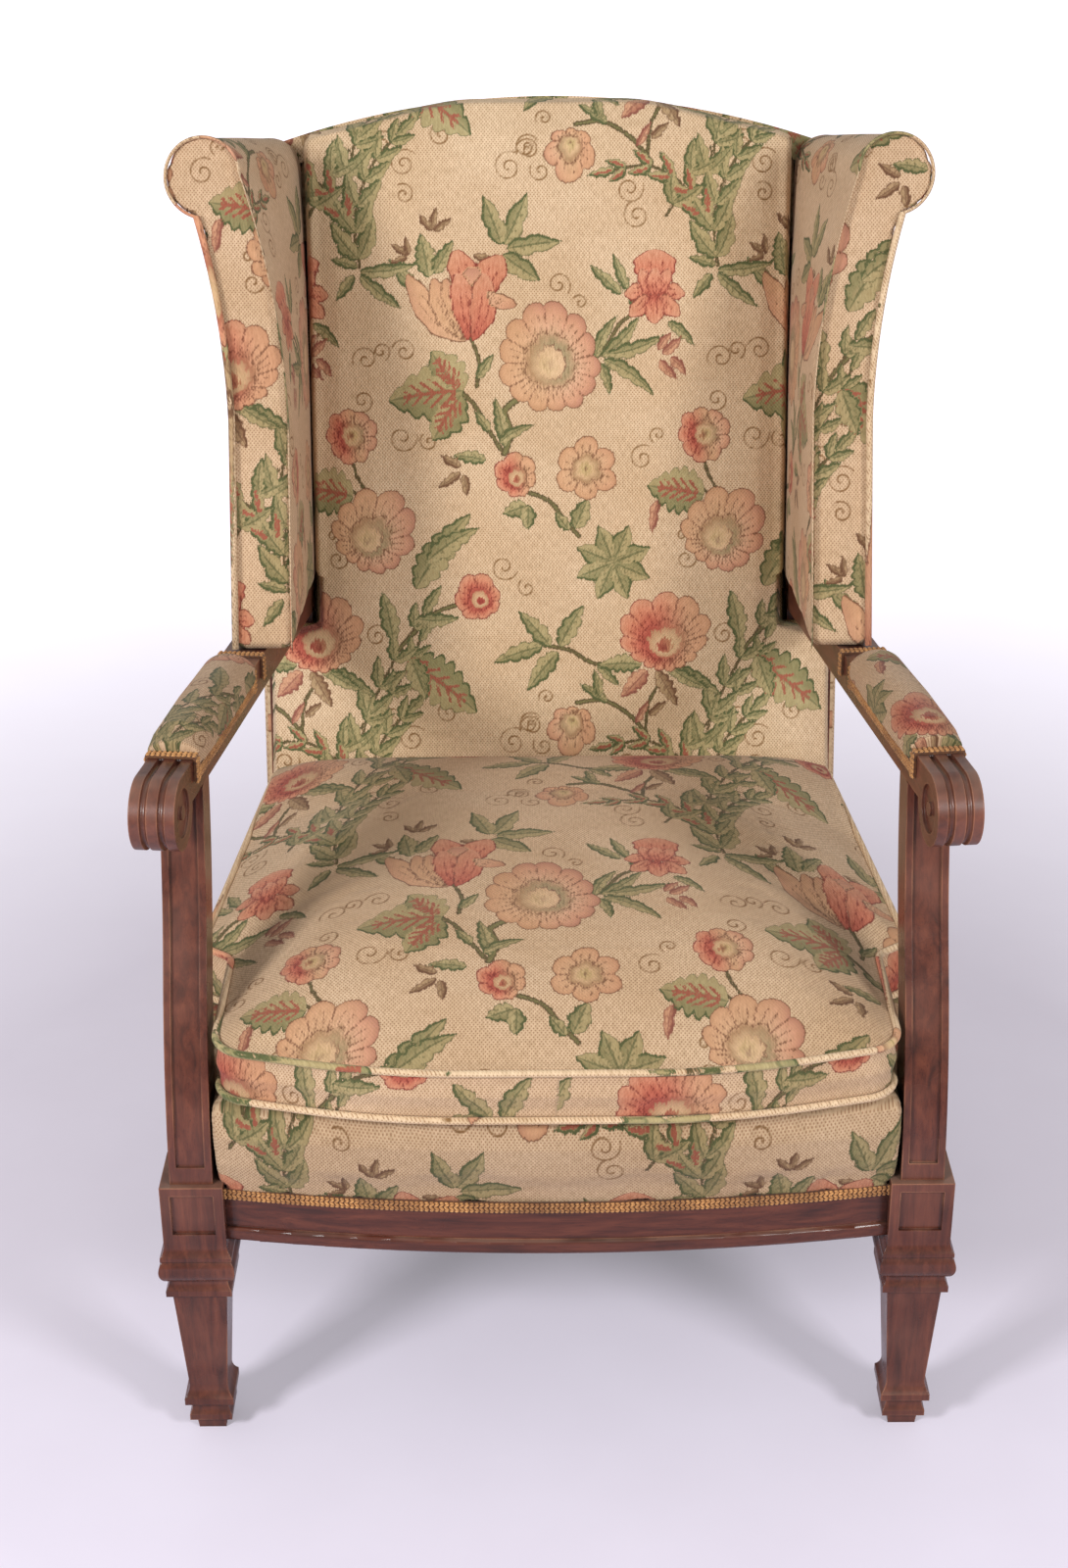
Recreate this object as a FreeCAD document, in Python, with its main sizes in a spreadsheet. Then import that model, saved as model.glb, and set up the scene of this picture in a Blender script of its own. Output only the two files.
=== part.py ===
import FreeCAD
import Part
import math
import os
import re
import Sketcher
from FreeCAD import Placement, Rotation, Vector
from types import SimpleNamespace

# Open-arm wing chair with a show-wood frame, a sprung seat and one loose seat cushion.
# Millimetres, +Z up, the sitter looks along -Y, origin on the floor under the middle.

doc = FreeCAD.newDocument("wing_chair")
dims = doc.addObject("Spreadsheet::Sheet", "dims")

SIZES = {
    # Front legs: square, moulded, tapered
    "front_plane": 387.5, "leg_spacing": 644, "leg_height": 222, "block_width": 56, "block_height": 59,
    "panel_margin": 9, "panel_sink": 3,
    "toe_base": 25, "toe_width": 28, "toe_height": 14,
    "ankle_width": 39, "ankle_waist": 33, "ankle_height": 20, "ankle_fillet": 6,
    "cuff_width": 45, "cuff_height": 20, "cuff_fillet": 7,
    "shaft_foot": 35, "shaft_top": 49,
    "neck_width": 59, "neck_waist": 52, "neck_height": 18, "neck_fillet": 6,
    "torus_flat": 60, "torus_height": 22, "torus_radius": 17,
    "crown_width": 64, "crown_fillet": 4, "crown_height": 18,
    # Seat rails
    "rail_recess": 12, "rail_bow": 24, "rail_depth": 28, "rail_drop": 3,
    "bead_height": 14, "bead_proud": 4, "bead_round": 3.5,
    "rebate_height": 13, "rebate_depth": 6,
    "side_recess": 8, "side_rail_width": 28, "side_rear_recess": 3, "seat_depth": 519,
    "tenon_length": 20, "tenon_thick": 12, "tenon_height": 28, "tenon_rise": 11, "tenon_inset": 8,
    "tenon_clear": 1,
    "back_rail_depth": 28, "back_rail_inset": 7,
    # Rear posts and the back frame
    "rear_post_spacing": 556, "rear_post_width": 48, "rear_post_depth": 40,
    "rear_foot_back": 85, "rear_foot_depth": 28, "rear_foot_width": 32, "rear_leg_radius": 420,
    "rake_start": 296, "rake_angle": 14, "back_height": 714,
    "crest_seat": 46, "crest_rise": 32, "crest_arch": 43, "crest_set": 4, "crest_depth": 30,
    "lower_rail_low": 96, "lower_rail_high": 150,
    # Arms and arm posts
    "arm_pivot": 130, "arm_pivot_height": 650, "arm_width": 39, "arm_depth": 34,
    "arm_flare": 5.7, "arm_pitch": 4.7, "scroll_radius": 32, "scroll_reach": 76,
    "flute_radius": 2.8, "flute_offset": 7.6, "flute_start": 36, "patera_radius": 21,
    "patera_boss": 6, "patera_sink": 2.5,
    "post_width": 38, "post_depth": 43, "post_setback": 6, "post_lean": 112, "post_curve": 520,
    "post_panel_margin": 6.5, "post_panel_sink": 3, "post_panel_low": 16,
    "pin_diameter": 12, "pin_depth": 18,
    # Wing frame
    "wing_board": 16, "wing_upright_width": 44, "wing_rail_height": 34, "wing_inset": 14, "wing_clear": 2,
    # Upholstery of the seat
    "cloth_gap": 0.3, "deck_height": 366, "border_bulge": 8, "border_roll": 16, "post_clear": 2.5,
    "side_bulge": 5, "web_width": 50, "web_thick": 1.6, "hessian_thick": 1.2, "stuffing_depth": 35,
    "spring_base": 42, "spring_waist": 28, "spring_wire": 3.6, "spring_pitch_x": 165, "spring_pitch_y": 160,
    "spring_turns": 5, "dust_inset": 16, "brace_width": 34, "brace_rise": 10, "brace_height": 40,
    "gimp_width": 10.5, "gimp_thick": 2.2,
    # Loose seat cushion
    "cushion_boxing": 48, "cushion_slope": 0.022, "cushion_crown": 58, "cushion_dome": 170,
    "cushion_front": 30, "cushion_bow": 38, "cushion_neck": 296, "cushion_shoulder": 326,
    "cushion_shoulder_back": 180, "cushion_rear": 290, "cushion_back": 546, "seam_inset": 5,
    "cushion_corner": 34, "cushion_notch_inner": 16, "cushion_notch_outer": 12, "cushion_heel": 22,
    "pipe_radius": 3.3,
    # Upholstery of the back
    "back_pad": 40, "back_crown": 11, "back_waist": 248, "back_lower": 300, "back_sill": 68,
    "back_corner": 14, "back_step_round": 8, "back_dome": 66, "arm_clear": 5,
    "crest_pad_side": 29, "crest_pad_middle": 22, "cover_thick": 3,
    # Wings
    "wing_inner": 250, "wing_outer": 304, "wing_front": 390, "wing_lean": 20.9,
    "wing_flare": 833, "wing_sweep": 0.2, "wing_head_x": 328, "wing_head_rise": 58, "wing_head_radius": 35,
    "wing_rear_head_x": 284, "wing_rear_head_rise": 26, "wing_rear_head_radius": 32,
    # Arm pads
    "pad_start": 24, "pad_end": 198, "pad_height": 23, "pad_wall": 4.5, "pad_skirt": 9,
}

for row, (alias, size) in enumerate(SIZES.items(), start=1):
    dims.set(f"A{row}", alias)
    dims.set(f"B{row}", str(size))
    dims.setAlias(f"B{row}", alias)
doc.recompute()
s = SimpleNamespace(**{alias: float(dims.get(alias)) for alias in SIZES})

SIDES = {"left": -1, "right": 1}
WORD = re.compile(r"[a-z][a-z_]*")
X_AXIS = Vector(1, 0, 0)
Y_AXIS = Vector(0, 1, 0)
Z_AXIS = Vector(0, 0, 1)


def bound(expression):
    """The expression with every size named as a cell of the sheet."""
    return WORD.sub(lambda word: f"dims.{word[0]}" if word[0] in SIZES else word[0], str(expression))


def number(expression):
    return float(dims.evalExpression(bound(expression)))


def bind(thing, **properties):
    for name, expression in properties.items():
        thing.setExpression(name.replace("__", "."), bound(expression))


def place(thing, x="0", y="0", z="0", turn=None, angle="0"):
    """Binds a placement: a position, and a turn about one axis in degrees."""
    if turn is not None:
        thing.Placement = Placement(Vector(), Rotation(turn, 1))
        bind(thing, Placement__Rotation__Angle=angle)
    bind(thing, Placement__Base__x=x, Placement__Base__y=y, Placement__Base__z=z)


def arc_between(start, end, radius, turning):
    """An arc from start to end; turning 1 runs anticlockwise, -1 clockwise."""
    chord = end - start
    middle = (start + end) / 2
    rise = math.sqrt(max(radius ** 2 - chord.Length ** 2 / 4, 0))
    normal = Vector(-chord.y, chord.x, 0).normalize()
    centre = middle + normal * rise * turning
    first, last = (start, end) if turning > 0 else (end, start)
    circle = Part.Circle(centre, Z_AXIS, radius)
    return Part.ArcOfCircle(circle, circle.parameter(first), circle.parameter(last))


def outline(sketch, corners, arcs=None):
    """Draws a closed outline; arcs maps an edge to (radius, turning). All of it is bound to the sheet."""
    arcs = arcs or {}
    spots = [Vector(number(x), number(y), 0) for x, y in corners]
    for edge, spot in enumerate(spots):
        after = spots[(edge + 1) % len(spots)]
        if edge in arcs:
            radius, turning = arcs[edge]
            sketch.addGeometry(arc_between(spot, after, number(radius), turning))
        else:
            sketch.addGeometry(Part.LineSegment(spot, after))

    def end_of(edge, head):
        flipped = edge in arcs and arcs[edge][1] < 0
        return 1 if head != flipped else 2

    for edge, (x, y) in enumerate(corners):
        before = (edge - 1) % len(corners)
        spot = spots[edge]
        start = end_of(edge, True)
        sketch.addConstraint(Sketcher.Constraint("Coincident", before, end_of(before, False), edge, start))
        across = sketch.addConstraint(Sketcher.Constraint("DistanceX", -1, 1, edge, start, spot.x))
        sketch.setExpression(f"Constraints[{across}]", bound(x))
        up = sketch.addConstraint(Sketcher.Constraint("DistanceY", -1, 1, edge, start, spot.y))
        sketch.setExpression(f"Constraints[{up}]", bound(y))
    for edge, (radius, _) in arcs.items():
        bend = sketch.addConstraint(Sketcher.Constraint("Radius", edge, number(radius)))
        sketch.setExpression(f"Constraints[{bend}]", bound(radius))


def new_body(name):
    return doc.addObject("PartDesign::Body", name)


def pad(body, name, role, corners, start, length, arcs=None):
    """Pads an outline drawn on one of the body's own planes, from start for a length."""
    sketch = body.newObject("Sketcher::SketchObject", f"{name}_sketch")
    plane = next(f for f in body.Origin.OriginFeatures if f.Role == role)
    sketch.AttachmentSupport = [(plane, "")]
    sketch.MapMode = "FlatFace"
    bind(sketch, AttachmentOffset__Base__z=start)
    outline(sketch, corners, arcs)
    feature = body.newObject("PartDesign::Pad", name)
    feature.Profile = sketch
    bind(feature, Length=length)
    return feature


SKETCH_TURN = {"front": Rotation(X_AXIS, 90), "side": Rotation(Vector(1, 1, 1), 120)}


def silhouette(name, view, corners, length, arcs=None):
    """A side or front silhouette extruded both ways from its plane."""
    sketch = doc.addObject("Sketcher::SketchObject", f"{name}_sketch")
    sketch.Placement = Placement(Vector(), SKETCH_TURN[view])
    outline(sketch, corners, arcs)
    solid = doc.addObject("Part::Extrusion", name)
    solid.Base = sketch
    solid.DirMode = "Normal"
    solid.Solid = True
    solid.Symmetric = True
    bind(solid, LengthFwd=length)
    return solid


def box(name, x, y, z, length, width, height):
    block = doc.addObject("Part::Box", name)
    bind(block, Length=length, Width=width, Height=height)
    place(block, x, y, z)
    return block


def cylinder(name, radius, height):
    rod = doc.addObject("Part::Cylinder", name)
    bind(rod, Radius=radius, Height=height)
    return rod


def common(name, base, tool):
    result = doc.addObject("Part::Common", name)
    result.Base = base
    result.Tool = tool
    return result


def fuse(name, pieces):
    result = doc.addObject("Part::MultiFuse", name)
    result.Shapes = pieces
    return result


def cut(name, base, tools):
    result = doc.addObject("Part::Cut", name)
    result.Base = base
    result.Tool = tools[0] if len(tools) == 1 else fuse(f"{name}_tools", tools)
    return result


def feature(name, shape, placement=None):
    """A piece whose shape is worked out below from the sheet's values."""
    piece = doc.addObject("Part::Feature", name)
    piece.Shape = shape
    if placement is not None:
        piece.Placement = placement
    return piece


pieces = {}


def keep(label, piece):
    piece.Label = label
    pieces[label] = piece


# Shared places, written once
BLOCK_FRONT = "(-front_plane)"
BLOCK_REAR = "(block_width - front_plane)"
BLOCK_INNER = "(leg_spacing / 2 - block_width / 2)"
BLOCK_TOP = "(leg_height + block_height)"
POST_FRONT = f"({BLOCK_REAR} + seat_depth)"
RAIL_BOTTOM = "(leg_height - rail_drop)"
RAIL_FACE = f"({BLOCK_FRONT} + rail_recess)"
RAIL_BACK = f"({RAIL_FACE} + rail_depth)"
REBATE_LEVEL = f"({BLOCK_TOP} - rebate_height)"
TENON_LEVEL = f"({RAIL_BOTTOM} + tenon_rise)"
BOW_RADIUS = f"(({BLOCK_INNER} ^ 2 + rail_bow ^ 2) / (2 * rail_bow))"
SIDE_FRONT_X = "(leg_spacing / 2 + block_width / 2 - side_recess)"
SIDE_REAR_X = "(rear_post_spacing / 2 + rear_post_width / 2 - side_rear_recess)"
POST_INNER = "(rear_post_spacing / 2 - rear_post_width / 2)"
FRAME_DEPTH = "(rear_post_depth * cos(rake_angle))"
CREST_FOOT = "(back_height - crest_seat)"
CREST_SIDE = "(back_height + crest_rise)"
CREST_MIDDLE = f"({CREST_SIDE} + crest_arch)"

block_front = number(BLOCK_FRONT)
block_rear = number(BLOCK_REAR)
block_top = number(BLOCK_TOP)
post_front = number(POST_FRONT)
rail_bottom = number(RAIL_BOTTOM)
rebate_level = number(REBATE_LEVEL)
side_front_x = number(SIDE_FRONT_X)
side_rear_x = number(SIDE_REAR_X)
frame_depth = number(FRAME_DEPTH)
post_top = number("rake_start + back_height * cos(rake_angle)")
crest_foot = number(CREST_FOOT)
crest_side = number(CREST_SIDE)
crest_middle = number(CREST_MIDDLE)
arch_side = crest_side + s.crest_pad_side
arch_middle = crest_middle + s.crest_pad_middle
hessian_level = s.deck_height - s.stuffing_depth


def mirrored_profile(steps, arcs):
    """A symmetric silhouette from (width, height) steps of its right side."""
    right = [(f"({width}) / 2", height) for width, height in steps]
    left = [(f"-({width}) / 2", height) for width, height in reversed(steps)]
    count = len(steps)
    turned = {2 * count - 2 - edge: bend for edge, bend in arcs.items()}
    return right + left, {**arcs, **turned}


def front_leg(side, sign):
    """Square leg turned up from two crossing silhouettes, with its block, panel and mortises."""
    cuff = "(toe_height + ankle_height)"
    shaft = f"({cuff} + cuff_height)"
    crown = "(leg_height - crown_height)"
    torus = f"({crown} - torus_height)"
    neck = f"({torus} - neck_height)"
    steps = [
        ("toe_base", "0"), ("toe_width", "toe_height"),
        ("ankle_width", "toe_height"), ("ankle_width", "toe_height + ankle_fillet"), ("ankle_waist", cuff),
        ("cuff_width", cuff), ("cuff_width", f"{cuff} + cuff_fillet"), ("shaft_foot", shaft),
        ("shaft_top", neck), ("neck_width", neck), ("neck_width", f"{neck} + neck_fillet"),
        ("neck_waist", torus), ("torus_flat", torus), ("torus_flat", crown),
        ("crown_width", crown), ("crown_width", f"{crown} + crown_fillet"), ("block_width", "leg_height"),
        ("block_width", BLOCK_TOP),
    ]
    arcs = {3: ("ankle_height", -1), 6: ("cuff_height", -1), 10: ("neck_height", -1),
            12: ("torus_radius", 1), 15: ("crown_height", -1)}
    corners, bends = mirrored_profile(steps, arcs)
    views = [silhouette(f"leg_{view}_{side}", view, corners, "torus_flat * 2", bends)
             for view in ("front", "side")]
    leg = common(f"leg_{side}", *views)
    middle = f"({sign} * leg_spacing / 2)"
    place(leg, middle, f"{BLOCK_FRONT} + block_width / 2", "0")
    width = "(block_width - 2 * panel_margin)"
    tools = [
        box(f"leg_panel_{side}", f"{middle} - {width} / 2", f"{BLOCK_FRONT} - panel_sink",
            "leg_height + panel_margin", width, "2 * panel_sink", "block_height - 2 * panel_margin"),
        box(f"leg_mortise_front_{side}", f"{sign} * ({BLOCK_INNER} + tenon_length / 2) - tenon_length / 2",
            f"{RAIL_FACE} + tenon_inset", TENON_LEVEL, "tenon_length", "tenon_thick", "tenon_height"),
        box(f"leg_mortise_side_{side}",
            f"{sign} * ({SIDE_FRONT_X} - tenon_inset - tenon_thick / 2) - tenon_thick / 2",
            f"{BLOCK_REAR} - tenon_length", TENON_LEVEL, "tenon_thick", "tenon_length", "tenon_height"),
    ]
    socket = cylinder(f"leg_socket_{side}", "pin_diameter / 2", "pin_depth")
    place(socket, middle, f"{BLOCK_FRONT} + post_setback + post_depth / 2", f"{BLOCK_TOP} - pin_depth")
    keep(f"front_leg_{side}", cut(f"front_leg_{side}_solid", leg, tools + [socket]))


def front_rail():
    """Bow-fronted rail with a bead along its foot and a rebate for the cloth along its top."""
    body = new_body("front_rail")
    steps = [("bead", RAIL_BOTTOM, "bead_height", "-bead_proud"),
             ("face", f"{RAIL_BOTTOM} + bead_height", f"{REBATE_LEVEL} - {RAIL_BOTTOM} - bead_height", "0"),
             ("rebate", REBATE_LEVEL, "rebate_height", "rebate_depth")]
    for name, start, height, shift in steps:
        face = f"({RAIL_FACE} + {shift})"
        corners = [(f"-{BLOCK_INNER}", face), (BLOCK_INNER, face),
                   (BLOCK_INNER, RAIL_BACK), (f"-{BLOCK_INNER}", RAIL_BACK)]
        pad(body, f"front_rail_{name}", "XY_Plane", corners, start, height, {0: (BOW_RADIUS, 1)})
    face = f"({RAIL_FACE} + tenon_inset)"
    reach = f"({BLOCK_INNER} + tenon_length)"
    corners = [(f"-{reach}", face), (reach, face),
               (reach, f"{face} + tenon_thick"), (f"-{reach}", f"{face} + tenon_thick")]
    pad(body, "front_rail_tenons", "XY_Plane", corners, TENON_LEVEL, "tenon_height")
    doc.recompute()
    stock = body.Tip
    bead_face = block_front + s.rail_recess - s.rail_bow - s.bead_proud
    bead_edges = [f"Edge{index}" for index, edge in enumerate(stock.Shape.Edges, start=1)
                  if abs(edge.BoundBox.YMin - bead_face) < s.bead_proud / 2 and edge.BoundBox.ZLength < 1]
    rounding = body.newObject("PartDesign::Fillet", "front_rail_bead_round")
    rounding.Base = (stock, bead_edges)
    bind(rounding, Radius="bead_round")
    keep("front_seat_rail", body)


def side_rail(side, sign):
    """Straight rail, toed in to the rear, with the same bead and rebate, tenoned at both ends."""
    body = new_body(f"side_rail_{side}")
    steps = [("bead", RAIL_BOTTOM, "bead_height", "bead_proud"),
             ("face", f"{RAIL_BOTTOM} + bead_height", f"{REBATE_LEVEL} - {RAIL_BOTTOM} - bead_height", "0"),
             ("rebate", REBATE_LEVEL, "rebate_height", "-rebate_depth")]

    def strip(name, start, height, outer, inner, front, rear):
        ends = ((SIDE_FRONT_X, outer, front), (SIDE_REAR_X, outer, rear),
                (SIDE_REAR_X, inner, rear), (SIDE_FRONT_X, inner, front))
        corners = [(f"{sign} * ({x} + {shift})", y) for x, shift, y in ends]
        pad(body, f"side_rail_{name}_{side}", "XY_Plane", corners, start, height)

    for name, start, height, shift in steps:
        strip(name, start, height, shift, "-side_rail_width", BLOCK_REAR, POST_FRONT)
    for name, x, near, far in (("front", SIDE_FRONT_X, f"{BLOCK_REAR} - tenon_length", BLOCK_REAR),
                               ("rear", SIDE_REAR_X, POST_FRONT, f"{POST_FRONT} + tenon_length")):
        outer = f"{sign} * ({x} - tenon_inset)"
        inner = f"{sign} * ({x} - tenon_inset - tenon_thick)"
        pad(body, f"side_rail_{name}_tenon_{side}", "XY_Plane",
            [(outer, near), (outer, far), (inner, far), (inner, near)], TENON_LEVEL, "tenon_height")
    keep(f"side_seat_rail_{side}", body)


def rear_post(side, sign):
    """Rear leg and back stile in one piece: splayed below the seat, raked above it."""
    rise = "(back_height * cos(rake_angle))"
    run = "(back_height * sin(rake_angle))"
    rear = f"({POST_FRONT} + rear_post_depth)"
    foot = f"({POST_FRONT} + rear_foot_back)"
    corners = [(foot, "0"), (f"{foot} + rear_foot_depth", "0"), (rear, RAIL_BOTTOM), (rear, "rake_start"),
               (f"{rear} + {run}", f"rake_start + {rise}"), (f"{POST_FRONT} + {run}", f"rake_start + {rise}"),
               (POST_FRONT, "rake_start"), (POST_FRONT, RAIL_BOTTOM)]
    arcs = {1: ("rear_leg_radius", -1), 7: ("rear_leg_radius", 1)}
    profile = silhouette(f"rear_post_side_{side}", "side", corners, "rear_post_width * 2", arcs)
    steps = [("rear_foot_width", "0"), ("rear_post_width", RAIL_BOTTOM),
             ("rear_post_width", f"rake_start + {rise}")]
    corners, _ = mirrored_profile(steps, {})
    face = silhouette(f"rear_post_face_{side}", "front", corners, "seat_depth * 4")
    post = common(f"rear_post_{side}_stock", profile, face)
    middle = f"({sign} * rear_post_spacing / 2)"
    place(post, middle, "0", "0")
    side_tenon = f"({SIDE_REAR_X} - tenon_inset - tenon_thick / 2)"
    rail_tenon = f"({sign} * ({POST_INNER} + tenon_length / 2) - tenon_length / 2)"
    tools = [
        box(f"post_mortise_side_{side}", f"{sign} * {side_tenon} - tenon_thick / 2", POST_FRONT, TENON_LEVEL,
            "tenon_thick", "tenon_length", "tenon_height"),
        box(f"post_mortise_rail_{side}", rail_tenon,
            f"{POST_FRONT} + back_rail_inset + tenon_length + tenon_clear", TENON_LEVEL,
            "tenon_length", "tenon_thick / 2", "tenon_height"),
    ]
    rails = (("crest", CREST_FOOT, "back_height"), ("lower", "lower_rail_low", "lower_rail_high"))
    for name, low, high in rails:
        height = f"({high} - {low} - 2 * tenon_inset)"
        mortise = box(f"post_mortise_{name}_{side}", "0", "0", "0", "tenon_length", "tenon_thick", height)
        forward = "(crest_set + crest_depth / 2 - tenon_thick / 2)"
        up = f"({low} + tenon_inset)"
        place(mortise, rail_tenon, f"{POST_FRONT} + {up} * sin(rake_angle) + {forward} * cos(rake_angle)",
              f"rake_start + {up} * cos(rake_angle) - {forward} * sin(rake_angle)", X_AXIS, "-rake_angle")
        tools.append(mortise)
    keep(f"rear_post_{side}", cut(f"rear_post_{side}_solid", post, tools))


def back_seat_rail():
    """Rail between the rear posts at seat height."""
    body = new_body("back_rail")
    near = f"({POST_FRONT} + back_rail_inset)"
    far = f"({near} + back_rail_depth)"
    corners = [(f"-{POST_INNER}", near), (POST_INNER, near), (POST_INNER, far), (f"-{POST_INNER}", far)]
    pad(body, "back_rail_bar", "XY_Plane", corners, RAIL_BOTTOM, f"{BLOCK_TOP} - {RAIL_BOTTOM}")
    reach = f"({POST_INNER} + tenon_length)"
    near = f"({near} + tenon_length + tenon_clear)"
    far = f"({near} + tenon_thick / 2)"
    corners = [(f"-{reach}", near), (reach, near), (reach, far), (f"-{reach}", far)]
    pad(body, "back_rail_tenons", "XY_Plane", corners, TENON_LEVEL, "tenon_height")
    keep("back_seat_rail", body)


def back_frame_rail(label, low, high, arch=None):
    """Rail across the raked back, tenoned into the posts; the crest has an arched top."""
    body = new_body(label)
    top = high if arch is None else arch[0]
    corners = [(f"-{POST_INNER}", low), (POST_INNER, low), (POST_INNER, top), (f"-{POST_INNER}", top)]
    arcs = {}
    if arch is not None:
        rise = f"({arch[1]} - {arch[0]})"
        arcs = {2: (f"({POST_INNER} ^ 2 + {rise} ^ 2) / (2 * {rise})", 1)}
    pad(body, f"{label}_bar", "XZ_Plane", corners, "-crest_set - crest_depth", "crest_depth", arcs)
    reach = f"({POST_INNER} + tenon_length)"
    foot = f"({low} + tenon_inset)"
    head = f"({high} - tenon_inset)"
    corners = [(f"-{reach}", foot), (reach, foot), (reach, head), (f"-{reach}", head)]
    pad(body, f"{label}_tenons", "XZ_Plane", corners,
        "-crest_set - crest_depth / 2 - tenon_thick / 2", "tenon_thick")
    place(body, "0", POST_FRONT, "rake_start", X_AXIS, "-rake_angle")
    keep(label, body)


def arm_frame(sign):
    """Placement of an arm: pivot over its post, flared outwards and pitched up to the front."""
    pivot = Vector(sign * s.leg_spacing / 2, block_front + s.arm_pivot, s.arm_pivot_height)
    return Placement(pivot, Rotation(Z_AXIS, sign * s.arm_flare) * Rotation(X_AXIS, -s.arm_pitch))


def arm(side, sign):
    """Show-wood arm: a bar that rolls over into a fluted scroll with a round patera on each cheek."""
    frame = arm_frame(sign)
    length = (s.seat_depth + s.block_width) * 1.2
    top = Vector(0, -s.scroll_reach, 0)
    centre = Vector(0, -s.scroll_reach, -s.scroll_radius)
    heel_drop = s.arm_depth - s.scroll_radius
    heel = Vector(0, -s.scroll_reach + math.sqrt(s.scroll_radius ** 2 - heel_drop ** 2), -s.arm_depth)
    toe = centre + Vector(0, -s.scroll_radius, 0)
    chin = centre + Vector(0, 0, -s.scroll_radius)
    under = centre + Vector(0, 1, -1).normalize() * s.scroll_radius
    edges = [
        Part.LineSegment(Vector(0, length, 0), top), Part.Arc(top, toe, chin), Part.Arc(chin, under, heel),
        Part.LineSegment(heel, Vector(0, length, -s.arm_depth)),
        Part.LineSegment(Vector(0, length, -s.arm_depth), Vector(0, length, 0)),
    ]
    face = Part.Face(Part.Wire([edge.toShape() for edge in edges]))
    bar = face.extrude(Vector(s.arm_width, 0, 0))
    bar.translate(Vector(-s.arm_width / 2, 0, 0))
    for lane in (-1, 1):
        shift = Vector(lane * s.flute_offset, 0, 0)
        start = Vector(0, -s.flute_start, 0) + shift
        run = Part.Wire([Part.LineSegment(start, top + shift).toShape(),
                         Part.Arc(top + shift, toe + shift, chin + shift).toShape()])
        ring = Part.Wire([Part.makeCircle(s.flute_radius, start, Y_AXIS)])
        bar = bar.cut(run.makePipeShell([ring], True, False))
        bar = bar.cut(Part.makeSphere(s.flute_radius, start))
        cheek = Vector(lane * (s.arm_width / 2 - s.patera_sink), centre.y, centre.z)
        disc = Part.makeCylinder(s.patera_radius, s.arm_width, cheek, X_AXIS * lane)
        boss = Part.makeCylinder(s.patera_boss, s.arm_width, cheek, X_AXIS * lane)
        bar = bar.cut(disc.cut(boss))
    bar.transformShape(frame.toMatrix())
    rear = Part.makeBox(s.seat_depth, s.seat_depth, s.seat_depth * 4,
                        Vector(-s.seat_depth / 2, 0, -s.seat_depth))
    rear.Placement = Placement(Vector(sign * s.rear_post_spacing / 2, post_front, s.rake_start),
                               Rotation(X_AXIS, -s.rake_angle))
    bar = bar.cut(rear)
    pin = pin_at(sign, True)
    keep(f"arm_{side}", feature(f"arm_{side}_solid", bar.cut(pin)))


def post_head(sign):
    """Where the arm post's axis meets the underside of its arm."""
    return Vector(sign * s.leg_spacing / 2, block_front + s.post_setback + s.post_lean + s.post_depth / 2,
                  s.arm_pivot_height - s.arm_depth)


def pin_at(sign, upper):
    """Round tenon of the arm post, into the arm above or the leg block below."""
    if upper:
        foot = post_head(sign) - Vector(0, 0, s.pin_depth / 2)
        return Part.makeCylinder(s.pin_diameter / 2, s.pin_depth * 1.5, foot, Z_AXIS)
    foot = Vector(sign * s.leg_spacing / 2, block_front + s.post_setback + s.post_depth / 2,
                  block_top - s.pin_depth)
    return Part.makeCylinder(s.pin_diameter / 2, s.pin_depth, foot, Z_AXIS)


def arm_post(side, sign):
    """Post swept back from the leg block to the arm, with a sunk panel down its front."""
    top = s.arm_pivot_height
    foot_front = Vector(0, block_front + s.post_setback, block_top)
    head_front = foot_front + Vector(0, s.post_lean, top - block_top)
    middle = (foot_front + head_front) / 2
    back = Vector(0, s.post_depth, 0)

    def bend(start, end, turning):
        chord = end - start
        sagitta = s.post_curve - math.sqrt(s.post_curve ** 2 - chord.Length ** 2 / 4)
        across = Vector(0, -chord.z, chord.y).normalize()
        return Part.Arc(start, (start + end) / 2 + across * sagitta * turning, end).toShape()

    def stock(width, shift):
        low, mid, high = (point + shift for point in (foot_front, middle, head_front))
        wire = Part.Wire([bend(low, mid, 1), bend(mid, high, -1),
                          Part.LineSegment(high, high + back).toShape(),
                          bend(mid + back, high + back, -1), bend(low + back, mid + back, 1),
                          Part.LineSegment(low + back, low).toShape()])
        solid = Part.Face(wire).extrude(Vector(width, 0, 0))
        solid.translate(Vector(sign * s.leg_spacing / 2 - width / 2, 0, 0))
        return solid

    post = stock(s.post_width, Vector())
    panel = stock(s.post_width - 2 * s.post_panel_margin, Vector(0, s.post_panel_sink - s.post_depth, 0))
    low = block_top + s.post_panel_low
    window = Part.makeBox(s.seat_depth, s.seat_depth, top, Vector(sign * s.leg_spacing / 2 - s.seat_depth / 2,
                                                                  block_front - s.seat_depth / 2, low))
    post = post.cut(panel.common(window))
    above = Part.makeBox(s.seat_depth, s.seat_depth, s.seat_depth,
                         Vector(-s.seat_depth / 2, -s.seat_depth / 2, -s.arm_depth))
    above.Placement = arm_frame(sign)
    post = post.cut(above)
    scroll = Part.makeCylinder(s.scroll_radius + s.cloth_gap, s.seat_depth,
                               Vector(-s.seat_depth / 2, -s.scroll_reach, -s.scroll_radius), X_AXIS)
    scroll.transformShape(arm_frame(sign).toMatrix())
    post = post.cut(scroll).fuse([pin_at(sign, True), pin_at(sign, False)]).removeSplitter()
    keep(f"arm_post_{side}", feature(f"arm_post_{side}_solid", post))


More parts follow.
